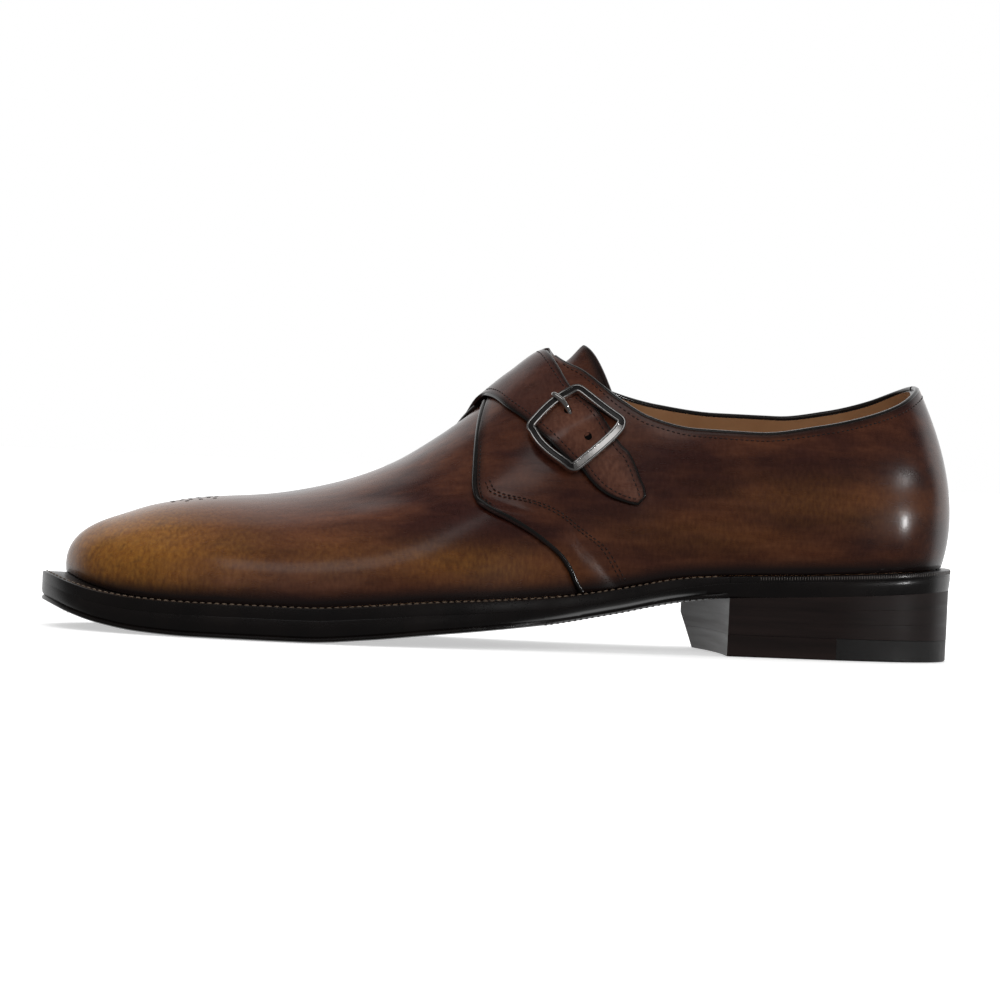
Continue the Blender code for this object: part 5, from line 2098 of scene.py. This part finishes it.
@dataclass
class Buckle:
    """A rounded square frame of polished metal with bevelled rims, a hidden middle bar and a prong. Its flat
    face, except on the polished lower bar, is painted near-black: a painted reflection of a dark room.
    """

    quarters: Quarters
    width: float = 2.9 * MM
    depth: float = 2.3 * MM
    rim: float = 0.42 * MM
    corners: tuple[Corner, ...] = (
        Corner(0.4825, 0.578, 0.000),
        Corner(0.4330, 0.674, 0.000),
        Corner(0.3890, 0.520, 0.000),
        Corner(0.4490, 0.393, 0.004),
    )
    bar: tuple[tuple[float, float], ...] = ((0.468, 0.484), (0.4105, 0.590))
    bar_radius: float = 0.6 * MM
    soft: float = 0.11
    prong_share: float = 0.56
    prong: tuple[PinStep, ...] = (
        PinStep(5.12, 2.5, 0.70),
        PinStep(4.90, 3.0, 0.75),
        PinStep(4.65, 4.1, 0.85),
        PinStep(4.40, 5.3, 0.95),
        PinStep(4.10, 6.1, 0.95),
        PinStep(3.80, 6.3, 0.95),
        PinStep(3.60, 6.2, 0.95),
        PinStep(3.50, 6.0, 0.70),
    )

    @property
    def height(self) -> float:
        """How far the frame's middle is over the upper."""
        return 2 * LAST.clearance + self.quarters.strap_lift + self.quarters.strap + 1.2 * MM

    def outline(self) -> list[Triple]:
        """The frame's middle line.

        Returns:
            For each point its round, its girth and which side it belongs to, from 0 to 4.
        """
        spots = []
        count = len(self.corners)
        for k, corner in enumerate(self.corners):
            before, after = self.corners[k - 1], self.corners[(k + 1) % count]
            start = [corner[i] + (before[i] - corner[i]) * self.soft for i in (0, 1)]
            finish = [corner[i] + (after[i] - corner[i]) * self.soft for i in (0, 1)]
            for step in range(9):
                share = step / 8
                spot = [
                    (1 - share) ** 2 * start[i] + 2 * share * (1 - share) * corner[i] + share**2 * finish[i]
                    for i in (0, 1)
                ]
                spots.append((spot[0], spot[1], k - 0.5 + share))
            following = [after[i] + (corner[i] - after[i]) * self.soft for i in (0, 1)]
            for step in range(1, 12):
                share = step / 12
                bow = corner.bow * 4 * share * (1 - share)
                spot = [finish[i] + (following[i] - finish[i]) * share + bow * (1, -1)[i] for i in (0, 1)]
                spots.append((spot[0], spot[1], k + 0.5))
        return spots

    def section(self, wide: float, deep: float) -> list[tuple[float, float]]:
        """The frame's cross-section: a flat face between two raised, rounded rims.

        Args:
            wide: its width.
            deep: its height.

        Returns:
            Its points as places across and up.
        """
        half, top, low = wide / 2, deep / 2, -deep / 2
        rim, dip = self.rim, 0.22 * MM
        return [
            (-half, low + rim),
            (-half, top - rim),
            (-half + 0.3 * rim, top - 0.3 * rim),
            (-half + rim, top),
            (-half + 1.7 * rim, top - 0.1 * rim),
            (-half + 2.3 * rim, top - dip),
            (half - 2.3 * rim, top - dip),
            (half - 1.7 * rim, top - 0.1 * rim),
            (half - rim, top),
            (half - 0.3 * rim, top - 0.3 * rim),
            (half, top - rim),
            (half, low + rim),
            (half - rim, low),
            (-half + rim, low),
        ]

    def build_frame(self, finishes: Finishes) -> None:
        """Sweep the frame's section round its outline."""
        spots = self.outline()
        centres = [LAST.raised(Side.LATERAL, spot[0], spot[1], self.height) for spot in spots]
        outs = [LAST.normal(Side.LATERAL, spot[0], spot[1]) for spot in spots]
        flat = sum(outs, Vector()).normalized()
        count = len(spots)
        sections = []
        for k in range(count):
            run = (centres[(k + 1) % count] - centres[k - 1]).normalized()
            up = (outs[k].lerp(flat, 0.35) - run * outs[k].lerp(flat, 0.35).dot(run)).normalized()
            across = run.cross(up)
            heavy = ease(1 - abs(spots[k][2] - 2.5) / 0.75)
            points = self.section(self.width * (1 + 0.22 * heavy), self.depth)
            sections.append([centres[k] + across * x + up * y for x, y in points])
        item = loft("buckle_frame_cast", sections, closed=True)
        for name in ("buckle_metal", "buckle_face_painted_reflection"):
            item.data.materials.append(finishes[name])
        # Painted reflection: the flat face, except on the polished lower bar, takes the near-black face
        # finish, for the dark room that the metal would mirror.
        strips = len(sections[0])
        for number, face in enumerate(item.data.polygons):
            polished = abs(spots[number // strips][2] - 2.5) < 0.3
            face.material_index = int(number % strips in (4, 5, 6) and not polished)
        smooth(item, 35)
        bar = []
        for step in range(31):
            share = step / 30
            place = [first + (last - first) * share for first, last in zip(*self.bar)]
            ends = abs(2 * share - 1) ** 6
            height = 2.1 * MM + ends * (self.height - 2.3 * MM)
            bar.append(LAST.raised(Side.LATERAL, *place, height))
        middle = tube("middle_bar", bar, [self.bar_radius] * len(bar), 10)
        item = join("buckle_frame_cast", [item, middle])
        metals = [finishes["buckle_metal"], finishes["buckle_face_painted_reflection"]]
        finish_piece(item, metals, ["buckle_frame"])

    def build_prong(self, finishes: Finishes) -> None:
        """Build the prong, from its loop under the strap to its tip on the frame."""
        curve = path_curve([tuple(step) for step in self.prong])
        count = 36
        points, radii = [], []
        for k in range(count + 1):
            way, height, radius = curve(k / count)
            points.append(LAST.strap_point(way, self.prong_share, height * MM))
            radii.append(radius * MM * (1.0 if k < count - 2 else (0.8, 0.45, 0.2)[k - count + 2]))
        item = tube("buckle_pin", points, radii, 12)
        finish_piece(item, [finishes["buckle_metal"]], ["buckle_prong"])

    def build_holes(self, finishes: Finishes) -> None:
        """Mark the strap's spare hole, and the one that the prong comes through, with a dark ring and a dark
        disc: painted shade standing in for each hole's depth.
        """
        top = self.quarters.strap_top
        for number, way in enumerate((4.62, 6.35)):
            height = top + self.quarters.bump(way)
            middle = LAST.strap_point(way, self.prong_share, height + 0.02 * MM)
            up = (middle - LAST.strap_point(way, self.prong_share, 0)).normalized()
            first = up.orthogonal().normalized()
            ring = [middle + out * 1.15 * MM for out in spokes(first, up.cross(first), 24)]
            rim = tube(f"strap_hole_{number + 1}", ring, [0.22 * MM] * 24, 6, closed=True, guides=[up] * 24)
            ends = [middle - up * 0.3 * MM, middle + up * 0.03 * MM]
            disc = tube(f"hole_shade_disc_{number + 1}", ends, [1.15 * MM] * 2, 20)
            whole = join(f"strap_hole_{number + 1}", [rim, disc])
            finish_piece(whole, [finishes["dark_and_hole_shade"]])

    def build(self, finishes: Finishes) -> None:
        """Build the whole buckle and the strap's holes."""
        self.build_frame(finishes)
        self.build_prong(finishes)
        self.build_holes(finishes)


ROSETTE = [
    (0, 0), (0, 4.6), (0, -4.6), (2.9, 2.1), (2.9, -2.1), (-2.9, 2.1), (-2.9, -2.1),
    (5.8, 0), (-5.8, 0), (4.6, 4.8), (4.6, -4.8), (-4.6, 4.8), (-4.6, -4.8), (8.7, 2.0), (8.7, -2.0),
]


@dataclass
class Medallion:
    """A small pricked rosette on top of the toe."""

    hole: float = 0.68 * MM
    station: float = 0.838
    aside: float = 2.5

    def build(self, finishes: Finishes) -> None:
        """Prick the rosette's holes, each a small dark disc of painted shade set on the leather."""
        mesh = bmesh.new()
        for x, y in ROSETTE:
            place, up = self.crest(self.station, x * MM, (y - self.aside) * MM)
            first = up.orthogonal().normalized()
            outs = spokes(first, up.cross(first), 10)
            rings = [
                [mesh.verts.new(place + out * self.hole * radius + up * height * MM) for out in outs]
                for radius, height in ((1.2, -0.03), (1.0, 0.06), (0.8, 0.04), (0.5, 0.03))
            ]
            bridge(mesh, rings)
            mesh.faces.new(rings[-1])
            low = mesh.verts.new(place - up * 0.5 * MM)
            for k in range(10):
                mesh.faces.new((rings[0][(k + 1) % 10], rings[0][k], low))
        item = cast("toe_rosette", mesh)
        smooth(item, 50)
        finish_piece(item, [finishes["dark_and_hole_shade"]])

    def crest(self, station: float, ahead: float, aside: float) -> tuple[Vector, Vector]:
        """A place on top of the toe.

        Args:
            station: the station of the rosette's middle on the ridge.
            ahead: how far towards the toe.
            aside: how far towards the medial side.

        Returns:
            The place on the leather and the direction out of it.
        """
        side = Side.MEDIAL if aside > 0 else Side.LATERAL
        target = Vector((LAST.along(station) - ahead, LAST.ridge_side(station) + aside, 0))
        share, girth = 0.83, 0.9
        for _ in range(14):
            here = LAST.point(side, share, girth)
            error = target - here
            step = 0.002
            above = min(girth + step, 1.0)
            by_share = (LAST.point(side, share + step, girth) - here) / step
            by_girth = (LAST.point(side, share, above) - here) / (above - girth)
            cross = by_share.x * by_girth.y - by_share.y * by_girth.x
            if abs(cross) < 1e-9:
                break
            share += (error.x * by_girth.y - error.y * by_girth.x) / cross * 0.8
            girth += (by_share.x * error.y - by_share.y * error.x) / cross * 0.8
            share, girth = min(max(share, 0.6), 0.97), min(max(girth, 0.4), 0.998)
        return LAST.point(side, share, girth), LAST.normal(side, share, girth)


def bottom_row(side: Side, start: float, end: float, inset: float, height: Reader, out: Vector) -> Row:
    """A row of marks along the sole's edge.

    Args:
        side: which edge.
        start: the station where it starts.
        end: the station where it ends.
        inset: how far in from the edge it is, beside the bevel.
        height: its height at a station.
        out: the direction out of the sole; level outwards if it is zero.

    Returns:
        Its path and its outward direction.
    """

    def place(share: float) -> Vector:
        station = start + (end - start) * share
        bevel = LAST.bevel_depth(station) if out.z < 0 else 0.0
        return LAST.edge(side, station, inset + bevel, height(station))

    def outward(share: float) -> Vector:
        return out if out.length else LAST.outward(side, start + (end - start) * share)

    return place, outward


class Nail(NamedTuple):
    """A nail or screw in the sole: its place along in mm, its share across and its radius in mm."""

    along: float
    share: float
    radius: float


HEEL_NAILS = [
    Nail(89, -0.84, 0.9), Nail(100, -0.84, 0.9), Nail(111, -0.83, 0.9),
    Nail(84, 0.60, 0.9), Nail(93, 0.78, 0.9), Nail(102, 0.84, 0.9), Nail(112, 0.84, 0.9),
]
TOE_NAILS = [
    Nail(-147, -0.30, 0.8), Nail(-147, 0.30, 0.8), Nail(-143, -0.55, 0.8), Nail(-143, 0.55, 0.8),
    Nail(-138, -0.66, 0.8), Nail(-138, 0.66, 0.8), Nail(-142, -0.15, 0.8), Nail(-142, 0.15, 0.8),
]
SCREWS = [Nail(-3.5, -0.66, 2.0), Nail(66, -0.62, 2.0)]


@dataclass
class SoleDetails:
    """What is set into the bottom: nails, screws, a blank plate, the waist's joint, and the wheel's marks."""

    plate_size: Triple = (22 * MM, 13 * MM, 0.5 * MM)
    plate_middle: tuple[float, float] = (30.5, 0.05)
    joint: tuple[tuple[float, float], ...] = ((-11, -0.985), (8.5, 0.16), (-21.5, 0.985))
    proud: float = 0.05 * MM
    rand_span: tuple[float, float] = (0.006, 0.245)
    waist_span: tuple[float, float] = (0.288, 0.482)
    welt_span: tuple[float, float] = (0.290, 0.9995)

    def under(self, along: float, share: float, lift: float = 0.0) -> Vector:
        """A place on the sole's underside.

        Args:
            along: its place along the shoe in mm.
            share: from -1 on the lateral side to 1 on the medial side.
            lift: how far inside the sole it is.

        Returns:
            The place.
        """
        station = 0.5 - along * MM / LAST.length
        inset = 0.8 * MM + LAST.bevel_depth(station)
        height = 0.0 if station < 0.27 else LAST.bottom(station)
        return LAST.across(station, share, inset, height + lift)

    def stud(self, name: str, nail: Nail) -> Item:
        """One nail's head."""
        low = self.under(nail.along, nail.share, -self.proud * 0.6)
        return tube(name, [low, low + Vector((0, 0, 0.5 * MM))], [nail.radius * MM] * 2, 18)

    def build_nails(self, finishes: Finishes) -> None:
        """Drive the nails and screws."""
        for name, nails, finish in (
            ("heel_nails", HEEL_NAILS, "dark_and_hole_shade"),
            ("toe_nails", TOE_NAILS, "brass_nail"),
            ("waist_screws", SCREWS, "brass_nail"),
        ):
            item = join(name, [self.stud(f"{name}_{k}", nail) for k, nail in enumerate(nails)])
            smooth(item, 40)
            finish_piece(item, [finishes[finish]])
        # The screws' slots are thin dark bars: painted shade in their recesses.
        slots = []
        for k, nail in enumerate(SCREWS):
            ends = [self.under(nail.along + way * 1.4, nail.share + way * 0.02, 0.05 * MM) for way in (-1, 1)]
            slots.append(tube(f"slot_{k}", ends, [0.28 * MM] * 2, 8))
        finish_piece(join("screw_slots", slots), [finishes["dark_and_hole_shade"]])

    def build_plate(self, finishes: Finishes) -> None:
        """Let a blank metal plate into the waist."""
        along, share = self.plate_middle
        middle = self.under(along, share)
        ahead, behind = self.under(along - 8, share), self.under(along + 8, share)
        deselect()
        bpy.ops.mesh.primitive_cube_add(size=1, location=middle + Vector((0, 0, 0.2 * MM)))
        item = bpy.context.object
        item.name = "waist_plate"
        item.scale = self.plate_size
        item.rotation_euler = (0, -math.atan2(behind.z - ahead.z, behind.x - ahead.x), 0)
        bpy.ops.object.transform_apply(location=True, rotation=True, scale=True)
        round_edges(item, 0.1 * MM)
        smooth(item, 40)
        finish_piece(item, [finishes["plate_metal"]])

    def build_joint(self, finishes: Finishes) -> None:
        """Score the pointed joint between the waist and the forepart."""
        lines = []
        for number, (first, second) in enumerate(zip(self.joint, self.joint[1:])):
            points = []
            for k in range(25):
                share = k / 24
                spot = [first[i] + (second[i] - first[i]) * share for i in (0, 1)]
                points.append(self.under(spot[0], spot[1], 0.22 * MM))
            lines.append(tube(f"joint_{number}", points, [0.27 * MM] * 25, 8))
        finish_piece(join("waist_joint", lines), [finishes["dark_and_hole_shade"]])

    def build_marks(self, finishes: Finishes) -> None:
        """Roll the wheel's marks into the rand and the waist, and stitch the welt."""
        sewing, level, down = Seams(radius=0.17 * MM), Vector(), Vector((0, 0, -1))

        def rand_height(station: float) -> float:
            return 0.62 * LAST.welt_top(station) + 0.38 * LAST.sole_top(station)

        rand = [bottom_row(side, *self.rand_span, 0.08 * MM, rand_height, level) for side in Side]
        sewing.sew("rand_marks", rand, finishes["wheel_mark"], "dark_leather", 0.9 * MM, 1.0, 90)
        def waist_height(station: float) -> float:
            return LAST.bottom(station) + 0.13 * MM

        def welt_height(station: float) -> float:
            return LAST.welt_top(station) + 0.08 * MM

        waist = [bottom_row(side, *self.waist_span, 0.3 * MM, waist_height, down) for side in Side]
        sewing.sew("waist_marks", waist, finishes["wheel_mark"], "sole_leather", 2.1 * MM, 1.1, 60)
        welt = [bottom_row(side, *self.welt_span, 1.35 * MM, welt_height, -down) for side in Side]
        Seams().sew("welt_stitches", welt, finishes["welt_thread"], "dark_leather", 2.4 * MM, 1.15)

    def build(self, finishes: Finishes) -> None:
        """Build everything set into the bottom."""
        self.build_nails(finishes)
        self.build_plate(finishes)
        self.build_joint(finishes)
        self.build_marks(finishes)


@dataclass
class SockLining:
    """The insole board with the sock lining glued over it."""

    wall: float = 1.8 * MM
    rise: float = 1.6 * MM
    steps: int = 90

    def build(self, finishes: Finishes) -> None:
        """Build the insole."""
        stations = even_stations(0, 1, self.steps)

        def level(inset: float, height: Reader) -> Placer:
            def place(u: float, v: float) -> Vector:
                station = stations[round(v * self.steps)]
                full = LAST.margin(station) + self.wall + LAST.clearance + inset
                return LAST.across(station, 2 * u - 1, full, height(station))

            return place

        levels = [
            level(1.2 * MM, lambda s: LAST.welt_top(s) + self.rise),
            level(0.5 * MM, lambda s: LAST.welt_top(s) + self.rise - 0.15 * MM),
            level(0.0, lambda s: LAST.welt_top(s) + self.rise - 0.6 * MM),
            level(0.0, lambda s: LAST.sole_top(s) + LAST.clearance),
        ]
        item = plate("sock_lining", 16, self.steps, levels)
        smooth(item, 40)
        finish_piece(item, [finishes["lining_calf"]], ["insole"])


TARGET = Vector((0, 0, 0.04))
LIGHT_DISTANCE = 1.7


@dataclass
class Studio:
    """The floor, the lights and the camera."""

    azimuth: float = -12.0
    elevation: float = 0.6
    distance: float = 1.264
    lens: float = 135.36
    aim: Triple = (-0.0036, -0.0008, 0.048)
    roll: float = 2.8

    def build_floor(self) -> None:
        """Lay a plain pale floor."""
        deselect()
        bpy.ops.mesh.primitive_plane_add(size=40, location=(0, 0, -0.0002))
        floor = bpy.context.object
        floor.name = "floor"
        material, graph, shader = new_material("floor_paper")
        set_inputs(shader, Base_Color=(0.9, 0.9, 0.9, 1), Roughness=0.9, Emission_Color=(1, 1, 1, 1))
        where = graph.add("TexCoord")
        far = graph.add("VectorMath", operation="LENGTH")
        graph.link(where.outputs["Object"], far.inputs[0])
        graph.link(graph.span(far.outputs["Value"], 0.25, 0.7, 0.5, 1.0), shader.inputs["Emission Strength"])
        floor.data.materials.append(material)
        floor.visible_glossy = False
        floor.visible_diffuse = False

    def area(
        self, name: str, place: Vector, size: tuple[float, float], watts: float, shines: bool = True
    ) -> None:
        """Add a soft rectangular light.

        Args:
            name: its name.
            place: where it stands.
            size: its width and height.
            watts: its power.
            shines: whether it is mirrored in polished surfaces.
        """
        light = bpy.data.lights.new(name, "AREA")
        light.shape = "RECTANGLE"
        light.size, light.size_y = size
        light.energy = watts
        item = bpy.data.objects.new(name, light)
        item.location = place
        item.rotation_euler = (TARGET - place).to_track_quat("-Z", "Y").to_euler()
        item.visible_glossy = shines
        bpy.context.collection.objects.link(item)

    def toward(self, azimuth: float, elevation: float) -> Vector:
        """The direction from the shoe at an azimuth and an elevation in degrees."""
        turn, rise = math.radians(azimuth), math.radians(elevation)
        return Vector((math.sin(turn) * math.cos(rise), -math.cos(turn) * math.cos(rise), math.sin(rise)))

    def build_light(self) -> None:
        """Light the shoe from above and behind, with a weak glint from the camera's side."""
        world = bpy.data.worlds.new("studio")
        bpy.context.scene.world = world
        world.use_nodes = True
        graph = Graph(world.node_tree)
        back = world.node_tree.nodes["Background"]
        where = graph.add("TexCoord")
        parts = graph.add("SeparateXYZ")
        graph.link(where.outputs["Generated"], parts.inputs[0])
        facing = graph.math("ADD", graph.math("MULTIPLY", parts.outputs["X"], -0.208),
                            graph.math("MULTIPLY", parts.outputs["Y"], -0.978))
        behind = graph.span(facing, -0.08, -0.42, 0.0, 1.0)
        high = graph.span(parts.outputs["Z"], 0.25, 0.95, 0.0, 1.0)
        low = graph.span(parts.outputs["Z"], -0.02, -0.3, 0.0, 1.0)
        room = graph.math("SUBTRACT", behind, graph.math("MULTIPLY", high, 0.55))
        room = graph.math("SUBTRACT", room, graph.math("MULTIPLY", low, 0.35))
        room = graph.span(room, 0.0, 1.0, 0.09, 1.0)
        seen = graph.add("LightPath").outputs["Is Camera Ray"]
        shown = graph.mix(room, (0.0, 0.0, 0.0), (1.0, 1.0, 1.0))
        graph.link(graph.mix(seen, shown, (1.0, 1.0, 1.0)), back.inputs["Color"])
        back.inputs["Strength"].default_value = 1.0
        self.area("sky", Vector((0.0, 0.25, 1.5)), (2.4, 1.4), 17, shines=False)
        self.area("fill", Vector((-0.4, -1.6, 0.7)), (1.6, 1.0), 12, shines=False)
        self.area("window", TARGET + self.toward(-8, 47) * LIGHT_DISTANCE, (1.3, 0.45), 1.7)
        self.area("glint", TARGET + self.toward(54, 5) * LIGHT_DISTANCE, (0.13, 0.16), 4)
        bpy.context.scene.view_settings.view_transform = "Standard"

    def build_camera(self) -> None:
        """Place the camera."""
        data = bpy.data.cameras.new("camera")
        data.lens = self.lens
        data.sensor_width = 36
        data.clip_start, data.clip_end = 0.01, 100
        camera = bpy.data.objects.new("camera", data)
        back = self.toward(self.azimuth, self.elevation)
        camera.location = Vector(self.aim) + back * self.distance
        camera.rotation_mode = "QUATERNION"
        level = (-back).to_track_quat("-Z", "Y")
        camera.rotation_quaternion = level @ Quaternion((0, 0, 1), math.radians(self.roll))
        bpy.context.collection.objects.link(camera)
        bpy.context.scene.camera = camera

    def build(self) -> None:
        """Build the whole studio."""
        self.build_floor()
        self.build_light()
        self.build_camera()


def main() -> None:
    """Build the shoe's looks piece by piece."""
    logging.basicConfig(level=logging.INFO, format="%(message)s")
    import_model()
    finishes = make_finishes()
    UpperBody().build(finishes)
    quarters = Quarters()
    quarters.build_lateral(finishes)
    quarters.build_medial(finishes)
    Trim(quarters).build(finishes)
    Tongue().build(finishes)
    Buckle(quarters).build(finishes)
    Medallion().build(finishes)
    Bottom().build(finishes)
    Heel().build(finishes)
    SoleDetails().build(finishes)
    SockLining().build(finishes)
    Studio().build()


if __name__ == "__main__":
    main()
